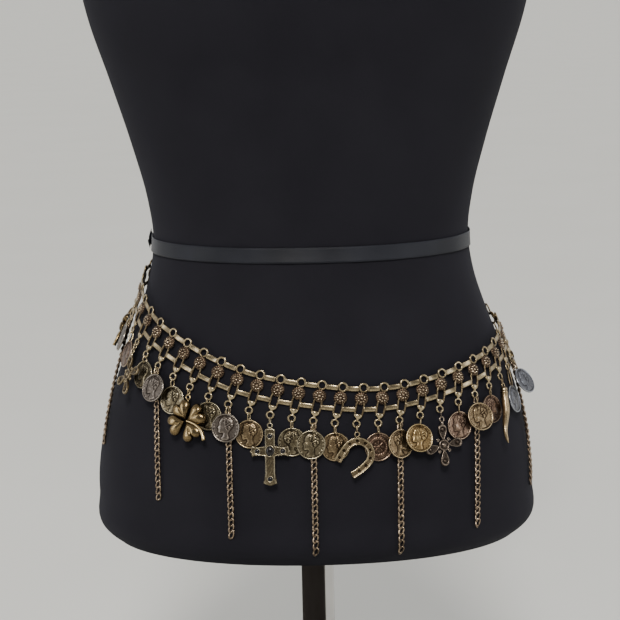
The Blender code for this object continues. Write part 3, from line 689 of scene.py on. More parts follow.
# %% Relief of a coin
SCALP = [
    (0.27, -0.12), (0.44, 0.04), (0.52, 0.26), (0.44, 0.50), (0.22, 0.68), (-0.06, 0.72), (-0.28, 0.64)
]  # fmt: skip
HEAD = rounded([
    (-0.37, 0.50), (-0.425, 0.38), (-0.44, 0.24), (-0.415, 0.18), (-0.47, 0.06), (-0.545, -0.04),
    (-0.455, -0.075), (-0.47, -0.135), (-0.445, -0.168), (-0.465, -0.205), (-0.435, -0.25),
    (-0.455, -0.315), (-0.375, -0.37), (-0.20, -0.32), (-0.11, -0.36), (-0.13, -0.52), (-0.32, -0.70),
    (0.0, -0.80), (0.32, -0.70), (0.22, -0.50), (0.20, -0.26), *SCALP,
], 2, closed=True)  # fmt: skip
HAIR = rounded([
    (-0.36, 0.44), (-0.20, 0.34), (-0.06, 0.18), (-0.04, -0.02), (0.06, -0.14), (0.18, -0.20),
    *SCALP, (-0.38, 0.52),
], 2, closed=True)  # fmt: skip
#    height  middle          half sizes: cheek, eye socket, eye, brow, lips, ear and its hollow, jaw
FACE = (
    (0.30, -0.27, -0.04, 0.12, 0.12), (-0.45, -0.335, 0.155, 0.055, 0.035),
    (0.40, -0.325, 0.145, 0.026, 0.018), (0.22, -0.37, 0.225, 0.07, 0.025),
    (-0.30, -0.43, -0.168, 0.045, 0.012), (0.30, -0.01, 0.05, 0.05, 0.09),
    (-0.25, -0.01, 0.04, 0.022, 0.045), (-0.18, -0.16, -0.33, 0.16, 0.03),
)  # fmt: skip


def inside(x, y, outline):
    """Distance to the nearest side of an outline, below zero outside it by the even-odd rule."""
    p = np.stack([x, y], -1)[..., None, :]
    start, end = outline, np.roll(outline, -1, 0)
    side = end - start
    s = clamp(((p - start) * side).sum(-1) / (side**2).sum(-1))
    near = np.linalg.norm(p - start - s[..., None] * side, axis=-1).min(-1)
    spans = (start[:, 1] > p[..., 1]) != (end[:, 1] > p[..., 1])
    rise = np.where(side[:, 1] == 0, 1e-9, side[:, 1])
    crossed = spans & (p[..., 0] < side[:, 0] * (p[..., 1] - start[:, 1]) / rise + start[:, 0])
    return np.where(crossed.sum(-1) % 2 == 1, near, -near)


def lump(x, y, cx, cy, wide, tall):
    return np.exp(-(((x - cx) / wide) ** 2) - ((y - cy) / tall) ** 2)


def head_relief(x, y, curls):
    """A head that looks left: swelling body, waved hair, a face of lumps and a wreath of leaves."""
    edge = inside(x, y, HEAD)
    body = clamp(edge / 0.12) ** 0.6
    hair = clamp(inside(x, y, HAIR) / 0.05)
    way = np.arctan2(y - 0.10, x + 0.02)
    out = np.hypot(x + 0.02, y - 0.10)
    waves = np.sin(way * curls + 14.0 * out + 1.6 * np.sin(11.0 * x + 7.0 * y)) * 0.5 + 0.5
    locks = np.sin(24.0 * x + 2.5 * np.sin(13.0 * y)) * np.sin(22.0 * y - 2.0 * x)
    strands = clamp(1.6 * (0.5 * waves + 0.5 * locks + 0.15) - 0.3)
    wreath = bell(out - 0.44, 0.055) * (0.5 + 0.5 * np.sin(way * 22)) * (y > 0.12)
    face = sum(tall * lump(x, y, *place) for tall, *place in FACE)
    lift = body * (0.62 + face * (1 - hair)) + hair * (0.34 * strands - 0.05)
    lift = lift + 0.28 * wreath * (body > 0)
    outer_line = bell(edge + 0.03, 0.045)
    ridge = bell(edge - 0.04, 0.035) + hair * strands * 0.7 + wreath * (body > 0)
    ridge = ridge + 1.4 * clamp(face)
    grooves = hair * (1 - strands) * (1 - wreath) * 0.9
    grooves = grooves + 2.2 * clamp(-face) * (1 - hair) * body
    return lift, clamp(outer_line + grooves) - 0.55 * clamp(ridge) * (edge > 0)


def sprig_relief(x, y):
    """A reverse: a rosette of eight petals inside a wreath of leaves."""
    r, a = np.hypot(x, y), np.arctan2(y, x)
    petals = clamp(1 - r / (0.26 + 0.16 * np.cos(8 * a))) ** 0.5
    leaves = 0.35 + 0.65 * abs(np.sin(11 * a + 14 * (r - 0.6)))
    leaves = leaves * bell(r - 0.60, 0.09)
    lift = 0.7 * petals + 0.6 * leaves + 0.5 * lump(x, y, 0, 0, 0.07, 0.07)
    return lift, bell(lift - 0.06, 0.08) * (r < 0.75)


COIN_RADIUS, COIN_DROP = 10.5, 15.3
COIN_STEPS = np.concatenate([[1.0, 0.985, 0.965, 0.945, 0.925], np.linspace(0.900, 0.03, 31)])
COIN_TURNS = 102


def coin_shape(face, facing, curls):
    """Height of a coin's front over the disc, from its face, rim, strokes and hole."""

    def shape(x, y, s):
        u, v = x / COIN_RADIUS, (y + COIN_DROP) / COIN_RADIUS
        r, a = np.hypot(u, v), np.arctan2(v, u)
        if face == "head":
            art, crevice = head_relief(u * facing / 1.1, v / 1.1, curls)
        else:
            art, crevice = sprig_relief(u, v)
        art, crevice = art * (r < 0.82), crevice * (r < 0.84)
        between = bell(r - 0.855, 0.04)
        strokes = clamp(0.4 + 1.3 * np.cos(30 * a + 2 * np.sin(7 * a)))
        strokes = between * strokes * (abs(np.sin(a - 0.4)) < 0.93)
        rim = clamp((r - 0.915) / 0.02)
        hole = np.exp(-((np.hypot(u, v - 0.80) / 0.085) ** 4))
        foot = bell(r - 0.905, 0.018)
        lift = 0.70 * art + 0.26 * strokes + 0.36 * rim
        raised = 0.50 - 0.46 * crevice - 0.34 * between + 0.78 * strokes + 0.38 * rim - 0.44 * foot
        fields = 0.10 * clamp(0.9 - r)
        lift = 0.32 + (lift * (1 - hole) - 0.7 * hole) - 0.3 * (s >= 1.0) + fields
        return lift, np.clip(raised, 0.02, 1) * (1 - hole)

    return shape


print("head outline of", len(HEAD), "points, hair of", len(HAIR))

# %% [markdown]
# ## How the pendants hang
# Each pendant turns about the bottom of its jump ring. Most lie nearly flat. Where the photograph
# shows one tilted, turned or swung aside, a small table says so.

# %% Pendants' frames
FRONT_LAYER, FLAT_TILT, CHARM_TILT, FRONT_COINS = 1.8, 3.0, 4.0, (39,)
#    column: turn, tilt, swing, drop
HUNG = {
    23: (0, 0, 8, 2), 24: (0, 4, 8, 0), 25: (0, 0, 0, -2), 26: (0, 8, 0, 0), 29: (0, 0, 0, -3),
    30: (0, 3, -5, 0), 34: (0, 3, -7, 0), 38: (17, 8, -5, 0), 39: (0, 14, -13, 0),
    42: (-12, 11, 0, 0), 44: (0, 3, -18, 0), 45: (0, 0, -6, 8), 46: (-22, 12, -10, 4),
}  # fmt: skip


def in_front(i):
    return i % 2 == 0 or i in FRONT_COINS


def hanging(i):
    """A function that sets flat points (x, y up, z out, in mm) at column i's jump ring."""
    column = columns[i]
    across, up = -RING_T * sin(LEAN), -RING_T * cos(LEAN) - PIVOT_BELOW_RING
    angle, height = column.spot(across, up)
    y = -fall(angle, height)
    z = skin_axes(angle, height)[2]
    frame_axes = Matrix(np.stack([np.cross(y, z), y, z], -1).tolist())
    usual = CHARM_TILT if i % REPEAT == CHARM_AT else FLAT_TILT if in_front(i) else 0.0
    turn, tilt, swing, _ = HUNG.get(i, (0.0, usual, 0.0, 0.0))
    turned = (
        frame_axes
        @ Matrix.Rotation(radians(swing), 3, "Z")
        @ Matrix.Rotation(-radians(tilt), 3, "X")
        @ Matrix.Rotation(radians(turn), 3, "Y")
    )
    origin = column.lay(np.array([[across, up, PLATE_OFF]]))[0]
    return lambda points: origin + points @ np.array(turned).T * MM


print(len(HUNG), "pendants hang in a way of their own")

# %% [markdown]
# Each coin is held by a small ring that stands nearly edge on: it goes round the jump ring and
# through the coin's hole. Coins of the front layer hang over their neighbours.

# %% Coins on their rings
COIN_METALS = {
    25: "olive", 26: "pewter", 27: "olive", 29: "olive", 30: "pewter", 31: "brown", 33: "olive",
    34: "olive", 35: "brown", 37: "copper", 38: "brown", 39: "gold", 41: "copper", 42: "brown",
    43: "copper", 45: "bluish", 46: "bluish", 47: "pewter",
}  # fmt: skip


def about_y(degrees, middle):
    """A function that turns points about an upright line through a middle point."""
    c, s = cos(radians(degrees)), sin(radians(degrees))
    turn = np.array([[c, 0, -s], [0, 1, 0], [s, 0, c]])
    return lambda points: (points - middle) @ turn + middle


def coin_ring(piece, drop, off):
    """Small oval ring from the jump ring to the coin's hole."""
    long = 3.15 + drop / 2
    middle = np.array([0.0, 0.55 - long, off / 2])
    place = about_y(62, middle)
    wire(piece, oval(1.45, long, 18, middle), 0.52, closed=True, finish=1, place=place)


for i in range(COLUMNS):
    if i % REPEAT == CHARM_AT:
        continue
    drop = HUNG.get(i, (0, 0, 0, 0.0))[3]
    off = FRONT_LAYER if in_front(i) else 0.0
    coin = Piece()
    outline = oval(COIN_RADIUS, COIN_RADIUS, COIN_TURNS, (0.0, -COIN_DROP, 0.0))[:, :2]
    face = "sprig" if i in (1, 9, 15, 21, 37) else "head"
    shape = coin_shape(face, -1 if i % 5 == 3 else 1, 7 + i % 4)
    centre, place = np.array([0.0, -COIN_DROP]), moved(0.0, -drop, off)
    stamped(coin, outline, centre, COIN_STEPS, shape, -0.55, 1.008, place=place)
    coin_ring(coin, drop, off)
    coin.lay(hanging(i))
    metal = metals[COIN_METALS.get(i, ("olive", "brown", "pewter", "copper")[i % 4])]
    name = f"coin_{i + 1:02d}"
    coin.build(f"{name}_struck", [metal, metals["brass"]], [name])
print("coins", COLUMNS - COLUMNS // REPEAT, "of", len(coin.faces), "faces each")

# %% [markdown]
# ## Charms
# Five kinds of charm hang from every fourth column. Each is cast, so each is one closed surface or
# a few that meet: domed clover leaves, a flared cross with stones, a nailed horseshoe, a cross of
# teardrops and a twisted horn.


# %% Ring and link that carry a charm
def charm_ring(piece, off):
    """The link stands nearly edge on, like a coin's ring."""
    middle = np.array([0.0, -1.55, off / 2])
    wire(piece, oval(1.0, 2.25, 14, middle), 0.46, closed=True, place=about_y(68, middle))
    wire(piece, oval(1.75, 1.75, 18, (0.0, -5.5, off)), 0.52, closed=True)


# %% Clover
def clover(piece, off):
    """Hearts, tips inwards: (13 cos t - 5 cos 2t - 2 cos 3t - cos 4t, 16 sin^3 t)."""
    t = turns(44)
    heart = np.column_stack([
        13 * np.cos(t) - 5 * np.cos(2 * t) - 2 * np.cos(3 * t) - np.cos(4 * t), -16 * np.sin(t) ** 3
    ])  # fmt: skip
    heart = (heart + [17.0, 0.0]) * [15.4 / 29.0, 15.8 / 32.0]
    centre = np.array([8.7, 0.0])

    def dome(x, y, s):
        swell = 3.0 * clamp(1 - s**2.6) ** 0.55
        crease = 0.50 * bell(y, 0.9) * clamp(x / 6) * (1 - s**3)
        return 0.2 + swell - crease, clamp(0.20 + 0.45 * (1 - s**4) - 0.30 * crease)

    steps = (1.0, 0.97, 0.92, 0.85, 0.76, 0.66, 0.54, 0.42, 0.30, 0.18, 0.08)
    for degrees in (27, 117, 197, 296):
        place = lambda points: points @ spin(degrees) + [-0.5, -23.0, off + 0.5]
        stamped(piece, heart, centre, steps, dome, -0.9, 1.01, place=place)
    route = [(-0.5, -23.0), (6.0, -25.0), (10.6, -28.2), (13.2, -32.6), (14.4, -37.4)]
    stem = level(spaced(rounded(route), 24), off + 0.9)
    wire(piece, stem, np.linspace(1.1, 1.5, 24), sides=10)
    neck = [(0.0, -6.6, 0.0), (0.0, -8.5, 0.2), (-0.2, -12.0, 0.3), (-0.4, -17.0, 0.4)]
    wire(piece, np.array(neck) + [0, 0, off], np.array([0.7, 1.1, 1.1, 0.9]), sides=10)


# %% Cross
def stone_set(piece, x, y, off, radius, tall, finish, longer=1.0):
    """A cabochon, a half ball (r cos b cos a, r l cos b sin a, h sin b), in a rubbed-over collar."""
    b = np.radians([-20, 0, 18, 36, 54, 72])
    dome = lathe(np.column_stack([radius * np.cos(b), tall * np.sin(b)]), 20, longer) + [x, y, off]
    piece.rings(dome, [x, y, off - tall * 0.5], [x, y, off + tall], finish=finish)
    collar = oval(radius + 0.15, radius * longer + 0.15, 20, (x, y, off + 0.1))
    wire(piece, collar, 0.38, sides=6, closed=True)


def cross(piece, off):
    """A flared cross: rings shrink from its outline, a border stands up, and the field is grained."""
    half, arm, arm_y, top, foot = 4.1, 13.8, -24.3, -7.7, -49.6
    left = np.array([
        (-half + 0.5, arm_y + half - 0.6), (-arm + 2.4, arm_y + half - 1.4), (-arm + 0.4, arm_y + half),
        (-arm, arm_y + 1.2), (-arm - 1.2, arm_y), (-arm, arm_y - 1.2),
        (-arm + 0.4, arm_y - half), (-arm + 2.4, arm_y - half + 1.4), (-half + 0.5, arm_y - half + 0.6),
        (-half + 0.6, foot + 4.6), (-half - 1.1, foot + 1.8),
    ])  # fmt: skip
    head = np.array([(half - 0.4, top - 1.4), (half * 0.6, top)])
    mirror = [-1, 1]
    corners = np.vstack([left, [(0.0, foot)], left[::-1] * mirror, head, head[::-1] * mirror])
    outline = spaced(corners, 176, closed=True)

    def shape(x, y, s):
        edge = inside(x, y, corners)
        border = clamp((0.85 - edge) / 0.25) * clamp((edge + 0.05) / 0.2)
        grain = 0.5 + 0.5 * np.sin(2.6 * x + 0.7 * y) * np.sin(2.6 * y - 0.5 * x)
        plate = 0.75 + 0.50 * border + 0.16 * grain * (1 - border)
        raised = 0.22 + 0.66 * border + 0.30 * grain * (1 - border)
        return plate - 0.25 * (s >= 1), clamp(raised)

    steps = np.append([1.0, 0.97, 0.93, 0.88, 0.83, 0.78], np.arange(12, 0, -1) * 0.06)
    centre, place = np.array([0.0, arm_y]), moved(0, 0, off + 0.1)
    stamped(piece, outline, centre, steps, shape, -0.75, 1.004, place=place)
    stone_set(piece, 0.0, arm_y, off + 1.1, 3.1, 1.9, 1, 1.25)
    for x, y in ((-9.4, arm_y), (9.4, arm_y), (0.0, -13.4), (0.0, -44.6)):
        stone_set(piece, x, y, off + 1.0, 1.9, 1.0, 1)


# %% Horseshoe
def horseshoe(piece, off):
    """Section carried along a U: a flat bar with raised edges and square nail holes down its middle."""
    outer, inner, toe, pinch, count = 12.4, 6.9, 14.0, 2.3, 170
    middle, half = (outer + inner) / 2, (outer - inner) / 2
    t = np.linspace(pi, 0, 49)
    round_part = np.column_stack([middle * np.cos(t), middle * np.sin(t)])
    legs = np.linspace(-toe, 0, 16)[:-1]
    left = np.column_stack([-middle + pinch * (legs / toe) ** 2, legs])
    path = np.vstack([left, round_part, (left * [-1, 1])[::-1]])
    path = spaced(path, count)
    run = np.linspace(0, 1, count)[:, None]
    right_u = np.array([0.28, 0.36, 0.64, 0.74, 0.88, 0.97, 1.0])
    right_v = np.array([0.95, 0.95, 0.95, 1.35, 1.35, 0.85, 0.3])
    front_u = np.concatenate([-right_u[::-1], [0.0], right_u])
    front_v = np.concatenate([right_v[::-1], [0.95], right_v])
    u = half * np.concatenate([front_u[::-1], [-0.96, -0.5, 0.5, 0.96]])
    v = np.concatenate([front_v, [-0.95, -1.05, -1.05, -0.95]])
    taper = np.clip(np.minimum(run, 1 - run) / 0.006, 0.55, 1.0)
    rail = clamp((v - 0.95) / 0.4)[None, :]
    nail = clamp(3.0 * np.cos(run * pi * 2 * 9.5 + pi) - 1.2) * (abs(run - 0.5) < 0.46)
    nail = nail * ((abs(u) / half < 0.3) & (v > 0))[None, :]
    section = np.stack([u[None, :] * taper, v[None, :] * taper - 1.1 * nail], -1)
    lit = np.where((v > 0)[None, :], 0.56 + 0.36 * rail - 0.75 * nail, 0.4)
    place = lambda points: points @ spin(-45) + [0.0, -20.0, off + 0.4]
    sweep(piece, level(path, 0.0), section, relief=lit, place=place)


# %% Cross of teardrops
def petal_cross(piece, off):
    """Four teardrops, tips inwards, round a boss: (l cos t, w sin t (1 + k cos t))."""
    t = turns(36)
    middle_y = -24.6
    drop_line = np.column_stack([6.0 * np.cos(t), 4.5 * np.sin(t) * (0.68 + 0.36 * np.cos(t))])

    def petal(x, y, s):
        border = clamp((s - 0.70) / 0.08) * clamp((1.02 - s) / 0.1)
        ridge = 0.5 * bell(s - 0.48, 0.08)
        from_bead = np.hypot(x - 2.2, y)
        bead = bell(from_bead, 1.15)
        groove = np.abs(from_bead - 1.5) < 0.4
        height = 0.55 + 0.55 * border + 0.3 * ridge + 1.15 * bead
        raised = 0.30 + 0.38 * border + 0.20 * ridge + 0.10 * bead - 0.30 * groove
        return height, clamp(raised)

    steps = (1.0, 0.96, 0.9, 0.84, 0.77, 0.70, 0.63, 0.56, 0.48, 0.40, 0.32, 0.24, 0.16, 0.08)
    for degrees in (8, 92, 195, 271):
        place = lambda points: (points + [9.4, 0, 0]) @ spin(degrees) + [0, middle_y, off + 0.3]
        stamped(piece, drop_line, np.zeros(2), steps, petal, -0.7, 1.01, place=place)
    for degrees in (48, 140, 232, 320):
        x, y = 5.9 * cos(radians(degrees)), 5.9 * sin(radians(degrees)) + middle_y
        stone_set(piece, x, y, off + 0.5, 0.75, 0.85, 0)

    def boss(x, y, s):
        border = bell(s - 0.86, 0.09)
        bead = bell(s, 0.34)
        return 0.9 + 0.5 * border + 1.0 * bead, clamp(0.2 + 0.6 * border + 0.7 * bead)

    ring, place = oval(4.3, 4.3, 36)[:, :2], moved(0, middle_y, off + 0.4)
    stamped(piece, ring, np.zeros(2), steps, boss, -0.8, 1.01, place=place)
    neck = np.array([(0.0, -6.6, off), (0.0, -8.4, off + 0.2), (0.0, -10.6, off + 0.2)])
    wire(piece, neck, np.array([0.7, 1.1, 0.9]), sides=10)


# %% Horn
def horn(piece, off):
    """A tapering round wire in a slack S, under a cap of stacked rings turned on a lathe."""
    route = [
        (0, -8.4), (0.2, -15), (1.5, -21), (1.5, -28), (-0.3, -35), (-1.4, -41), (-0.6, -46), (2.4, -51)
    ]  # fmt: skip
    line = spaced(rounded(route), 56)
    thickness = (0, 0.12, 0.35, 0.7, 0.93, 1), (1.9, 2.6, 2.8, 2.0, 1.1, 0.3)
    radius = np.interp(np.linspace(0, 1, 56), *thickness)
    wire(piece, level(line, off + 0.6), radius, sides=18)
    profile = np.array([
        (0.9, -6.6), (1.3, -6.9), (1.3, -7.3), (2.2, -7.7), (2.6, -8.6), (2.6, -9.6), (2.2, -10.4),
        (2.7, -10.9), (2.9, -11.5), (2.7, -12.1), (2.2, -12.4),
    ])  # fmt: skip
    cap = lathe(profile, 24)[..., [0, 2, 1]] * [1, 1, -1] + [0, 0, off + 0.6]
    lit = 0.35 + 0.5 * (profile[:, :1] > 2.4)
    piece.rings(cap[:, ::-1], [0, -6.5, off + 0.6], [0, -12.4, off + 0.6], relief=lit)


# %% Hang the charms
CHARMS = (
    ("clover", clover, "satin_gold", "gold"), ("petal_cross", petal_cross, "olive", "bronze"),
    ("horn", horn, "gold", "gold"), ("cross", cross, "olive", "bronze"),
    ("horseshoe", horseshoe, "brass", "bronze"), ("clover", clover, "satin_gold", "gold"),
    ("petal_cross", petal_cross, "brass", "bronze"), ("clover", clover, "satin_gold", "gold"),
    ("cross", cross, "olive", "bronze"), ("horseshoe", horseshoe, "brass", "bronze"),
    ("petal_cross", petal_cross, "umber", "bronze"), ("horn", horn, "brown", "gold"),
)  # fmt: skip
for number, (kind, shape, metal, slot) in enumerate(CHARMS):
    i = number * REPEAT + CHARM_AT
    charm = Piece()
    charm_ring(charm, FRONT_LAYER)
    shape(charm, FRONT_LAYER)
    charm.lay(hanging(i))
    name = f"charm_{i + 1:02d}_{kind}"
    charm.build(f"{name}_cast", [metals[metal], stone], [name])
    print(name, len(charm.faces), "faces")

# %% [markdown]
# ## Clasp and extender
# A lobster clasp closes the belt at the wearer's left hip, seen on the right. Beside it hangs the
# extender, a tail of larger oval links for a wider waist.

# %% Closure
last, first = columns[-1], columns[0]
lean_back = np.array([[cos(LEAN), -sin(LEAN)], [sin(LEAN), cos(LEAN)]])
near = np.array([END_RING_X, -ROSETTE_T]) @ lean_back
far = np.array([-END_RING_X, -ROSETTE_T]) @ lean_back
near_spot = last.lay(np.array([[*near, PLATE_OFF]]))[0]
far_spot = first.lay(np.array([[*far, PLATE_OFF]]))[0]


def heading(column, start, goal):
    """Unit step (across, up) on a column's chart from one world point towards another."""
    spot = column.spot(-ROSETTE_T * sin(LEAN), -ROSETTE_T * cos(LEAN))
    along, up, _ = skin_axes(*spot)
    return unit(np.array([(goal - start) @ along, (goal - start) @ up]))


REACH = END_RING + LENGTH_GAP
way = heading(last, near_spot, far_spot)
aside = np.array([-way[1], way[0]])
outline = rounded([
    (0.2, 0), (0.6, 1.5), (3.0, 2.4), (8.0, 2.4), (12.6, 2.1), (14.0, 0.0), (12.6, -2.1), (8.0, -2.2),
    (3.0, -2.4), (0.6, -1.5),
], 2, closed=True)  # fmt: skip
clasp = Piece()
flat = near + outline[:, :1] * way + way * REACH + outline[:, 1:] * aside
wire(clasp, level(flat, PLATE_OFF + 0.2), 0.75 + 0.35 * (outline[:, 0] < 5), sides=10, closed=True)
lever = near + way * (REACH + 4.0) + np.outer(np.linspace(0, 1, 8), aside * 4.4 + way * 1.2)
wire(clasp, level(lever, PLATE_OFF + 0.9), np.linspace(0.9, 0.6, 8))
clasp.lay(last.lay)
clasp.build("clasp_cast", [metals["gold"]], ["clasp"])

LINK_HALF, LINK_STRETCH, TAIL_LINKS, TAIL_GAP = 3.4, 1.2, 5, 0.1
tall = LINK_HALF * sin(pi / 3) + LINK_STRETCH
hook = far + heading(first, far_spot, near_spot) * (END_RING + LINK_HALF + TAIL_GAP)
tail = Piece()
for link in range(TAIL_LINKS):
    spot = np.array([hook[0], hook[1] - link * 2 * tall, PLATE_OFF + 1.0])
    place = about_y(0 if link % 2 == 0 else 28, spot)
    wire(tail, oval(LINK_HALF - 0.65, tall + 0.55, 22, spot), 0.65, closed=True, place=place)
tail.lay(first.lay)
tail.build("extender_links", [metals["brass"]], ["extender"])
print("clasp and extender made")

# %% [markdown]
# ## The form
# The torso is the skin formula on a fine grid, closed under the hem by a disc. It wears black
# jersey: a dull knit that takes a bluish sheen where the light grazes it. The knit's rows and
# columns follow the surface, so they are drawn on a UV map that is measured in metres.


# %% Torso, cap and their jersey
def jersey():
    """Black knit: soft mottling, a stitch pattern from two waves on the UV map, and sheen."""
    cloth = material("black_jersey")
    place = cloth.node("UVMap", "UV", {})
    mottle, fuzz = cloth.noise(14.0, 6.0), cloth.noise(1500.0, 4.0)
    mixed = cloth.added(cloth.scaled(mottle, 0.0, 0.5), cloth.scaled(fuzz, 0.0, 0.5))
    waves = []
    for direction, scale in (("X", 420.0), ("Y", 520.0)):
        inputs = {"Scale": scale, "Distortion": 0.8, "Vector": place}
        waves.append(cloth.node("TexWave", "Fac", inputs, bands_direction=direction))
    knit = cloth.bump(cloth.added(cloth.added(*waves), fuzz), 0.35, 0.0003)
    colour = cloth.ramp(mixed, (0.30, (0.0082, 0.0078, 0.0104)), (0.70, (0.0142, 0.0136, 0.0178)))
    sheen = {"Sheen Weight": 0.03, "Sheen Roughness": 0.45, "Sheen Tint": (0.62, 0.64, 0.80, 1.0)}
    roughness = cloth.scaled(fuzz, 0.78, 0.95)
    return cloth.surface(colour, roughness, **{"Specular IOR Level": 0.08}, **sheen, **knit)


def wrap_uv(made, u, v):
    """A UV map in metres: u round the girth, v up the surface, set at every corner of every face."""
    mesh = made.data
    corner = np.empty(len(mesh.loops), np.int32)
    mesh.loops.foreach_get("vertex_index", corner)
    values = np.stack([u[corner], v[corner]], -1).astype(np.float32)
    mesh.uv_layers.new(name="cloth").data.foreach_set("uv", values.ravel())


black_jersey = jersey()
AROUND = 208
angles = np.linspace(0, 2 * pi, AROUND, endpoint=False)
heights = np.concatenate([np.linspace(-0.2345, -0.222, 10), np.linspace(-0.218, 0.429, 150)])
wall = skin(angles[None, :], heights[:, None])
under = wall[0] * [1, 1, 0] + [0, 0, WAIST_Z]
turned_in = ((0.55, -0.2352), (0.93, -0.2358), (0.975, -0.2362), (0.992, -0.2356))
bottom = np.stack([under * [s, s, 1] + [0, 0, z] for s, z in turned_in])
torso_grid = np.concatenate([bottom, wall])
torso = Piece()
torso.rings(torso_grid, [0, 0, WAIST_Z - 0.2352], [0, 0, WAIST_Z + 0.4295], relief=0.5)
form_torso = torso.build("form_torso_jersey", [black_jersey], ["form_torso"])
points = np.concatenate(torso.points)
girth = np.arctan2(points[:, 0], -points[:, 1]) * 0.14
wrap_uv(form_torso, girth, points[:, 2])
print("torso", len(torso.faces), "faces")

# %% Neck cap
_, half_width, front, back = FORM[-1]
profile = np.array([
    (0.985, 0.0003), (1.0, 0.0012), (1.0, 0.0085), (0.985, 0.0100), (0.93, 0.0103), (0.60, 0.0103),
    (0.25, 0.0103),
])  # fmt: skip
wide, deep = half_width + 0.002, (front + back) / 2 + 0.002
middle = [0, (back - front) / 2]
cap_grid = lathe(profile * [wide, 1], 72, deep / wide) + [*middle, WAIST_Z + 0.43]
cap = Piece()
cap.rings(cap_grid, [*middle, WAIST_Z + 0.4303], [*middle, WAIST_Z + 0.4403], relief=0.5)
form_cap = cap.build("form_cap_jersey", [black_jersey], ["form_cap"])
points = np.concatenate(cap.points)
wrap_uv(form_cap, points[:, 0], points[:, 1])
print("neck cap", len(cap.faces), "faces")

# %% [markdown]
# ## Waist tape
# A flat satin tape marks the form's waist. Its ends are knotted at the side, where a short end
# sticks out. Satin shines in one direction, so the weave is fine lines along the tape.


# %% Satin
def satin():
    """Black satin: fine lines along the tape in the bump, soft gloss that varies in patches."""
    cloth = material("black_satin")
    place = cloth.node("UVMap", "UV", {})
    stretched = cloth.node("Mapping", "Vector", {"Vector": place, "Scale": (40.0, 1.0, 1.0)})
    lines = cloth.node("TexWave", "Fac", {"Scale": 900.0, "Vector": stretched}, bands_direction="Y")
    patches = cloth.noise(18.0, 4.0)
    colour = cloth.ramp(patches, (0.3, (0.008, 0.0085, 0.011)), (0.7, (0.017, 0.018, 0.024)))
    gloss = {"Specular IOR Level": 0.15, "Sheen Weight": 0.03, "Sheen Tint": (0.55, 0.60, 0.80, 1.0)}
    weave = cloth.bump(lines, 0.3, 0.0002)
    return cloth.surface(colour, cloth.scaled(patches, 0.30, 0.48), **gloss, **weave)


black_satin = satin()
print(black_satin.name, "is ready")

# %% Tape round the waist
TAPE_EDGES, TAPE_OFF = (-0.0105, 0.0010), 1.2
across = np.linspace(0, 1, 9)
tape_height = TAPE_EDGES[0] + across * (TAPE_EDGES[1] - TAPE_EDGES[0])
ripple = 0.35 * np.sin(9 * angles)[:, None] * (across - 0.5) + 0.15 * np.sin(23 * angles)[:, None]
base = skin(angles[:, None], tape_height[None, :])
out = skin_axes(angles[:, None], tape_height[None, :])[2]
outer_face = base + out * (TAPE_OFF + 0.25 + ripple)[..., None] * MM
inner_face = base + out * (TAPE_OFF - 0.15 + ripple)[..., None] * MM
tape = Piece()
tape_grid = np.concatenate([outer_face, inner_face[:, ::-1]], 1)
tape.rings(tape_grid, joined=True, relief=0.5)
waist_tape = tape.build("waist_tape_satin", [black_satin], ["waist_tape"])
u = np.repeat(angles * 0.11, tape_grid.shape[1])
v = np.tile(np.concatenate([tape_height, tape_height[::-1]]), AROUND)
wrap_uv(waist_tape, u, v)

# %% Knot of the tape
knot_angle, knot_height = radians(-98), -0.005
knot_at, (along, up, out) = skin(knot_angle, knot_height), skin_axes(knot_angle, knot_height)
b = np.radians(np.linspace(-75, 75, 8))[:, None]
a = turns(16)
lumps = 1 + 0.12 * np.sin(3 * a + 2 * b)
lumps = lumps * np.cos(b)
ball = np.stack([3.4 * lumps * np.cos(a), 4.6 * np.sin(b) + 0 * a, 1.9 * lumps * np.sin(a)], -1)
knot = Piece()
knot.rings(ball[:, ::-1], [0, -4.8, 0], [0, 4.8, 0], relief=0.6)
for lift, drop in ((2.2, 5.5), (3.0, -4.5)):
    s = np.linspace(0, 1, 8)
    line = np.column_stack([1.5 + 5.0 * s, drop * s, lift * np.sin(s * 2.2)])
    half = np.stack([3.0 + 1.6 * s, 0.25 + 0 * s], -1)
    a = turns(8)
    section = np.stack([half[:, :1] * np.cos(a), half[:, 1:] * np.sin(a)], -1)
    sweep(knot, line, section, relief=0.6)
axes = np.stack([along, up, out])
knot.lay(lambda flat: knot_at + out * 2.6 * MM + flat @ axes * MM)
tape_knot = knot.build("waist_tape_knot", [black_satin])
points = np.concatenate(knot.points)
wrap_uv(tape_knot, points[:, 1], points[:, 2])

# %% [markdown]
# ## Stand
# The form stands on a chromed pole with a heavy round foot. Both are turned on a lathe, so one
# profile of radius against height, carried round the upright axis, is the whole shape.


# %% Pole and foot
def chrome():
    """Chromed steel: nearly a mirror, with faint smears in its roughness."""
    steel = material("chrome")
    smears = steel.noise(30.0, 5.0)
    colour = steel.ramp(smears, (0.3, (0.44, 0.43, 0.42)), (0.7, (0.56, 0.55, 0.54)))
    return steel.surface(colour, steel.scaled(smears, 0.09, 0.20), Metallic=1.0)


foot = np.array([
    (132.0, 0.0), (138.5, 0.6), (140.0, 2.5), (140.0, 8.5), (138.0, 11.0), (134.0, 12.0),
    (40.0, 12.2), (24.0, 13.0), (20.0, 15.0), (19.0, 24.0), (17.0, 26.2), (13.2, 26.8),
    (13.0, 29.0), (13.0, 199.5), (13.2, 200.5), (13.2, 210.0), (12.0, 211.5),
]) / 1000  # fmt: skip
stand = Piece()
stand.rings(lathe(foot, 96), [0, 0, 0], [0, 0, 0.2115], relief=0.5)
stand_piece = stand.build("stand_chrome", [chrome()], ["stand"])
stand_piece.data.set_sharp_from_angle(angle=radians(50))
print("stand", len(stand.faces), "faces")

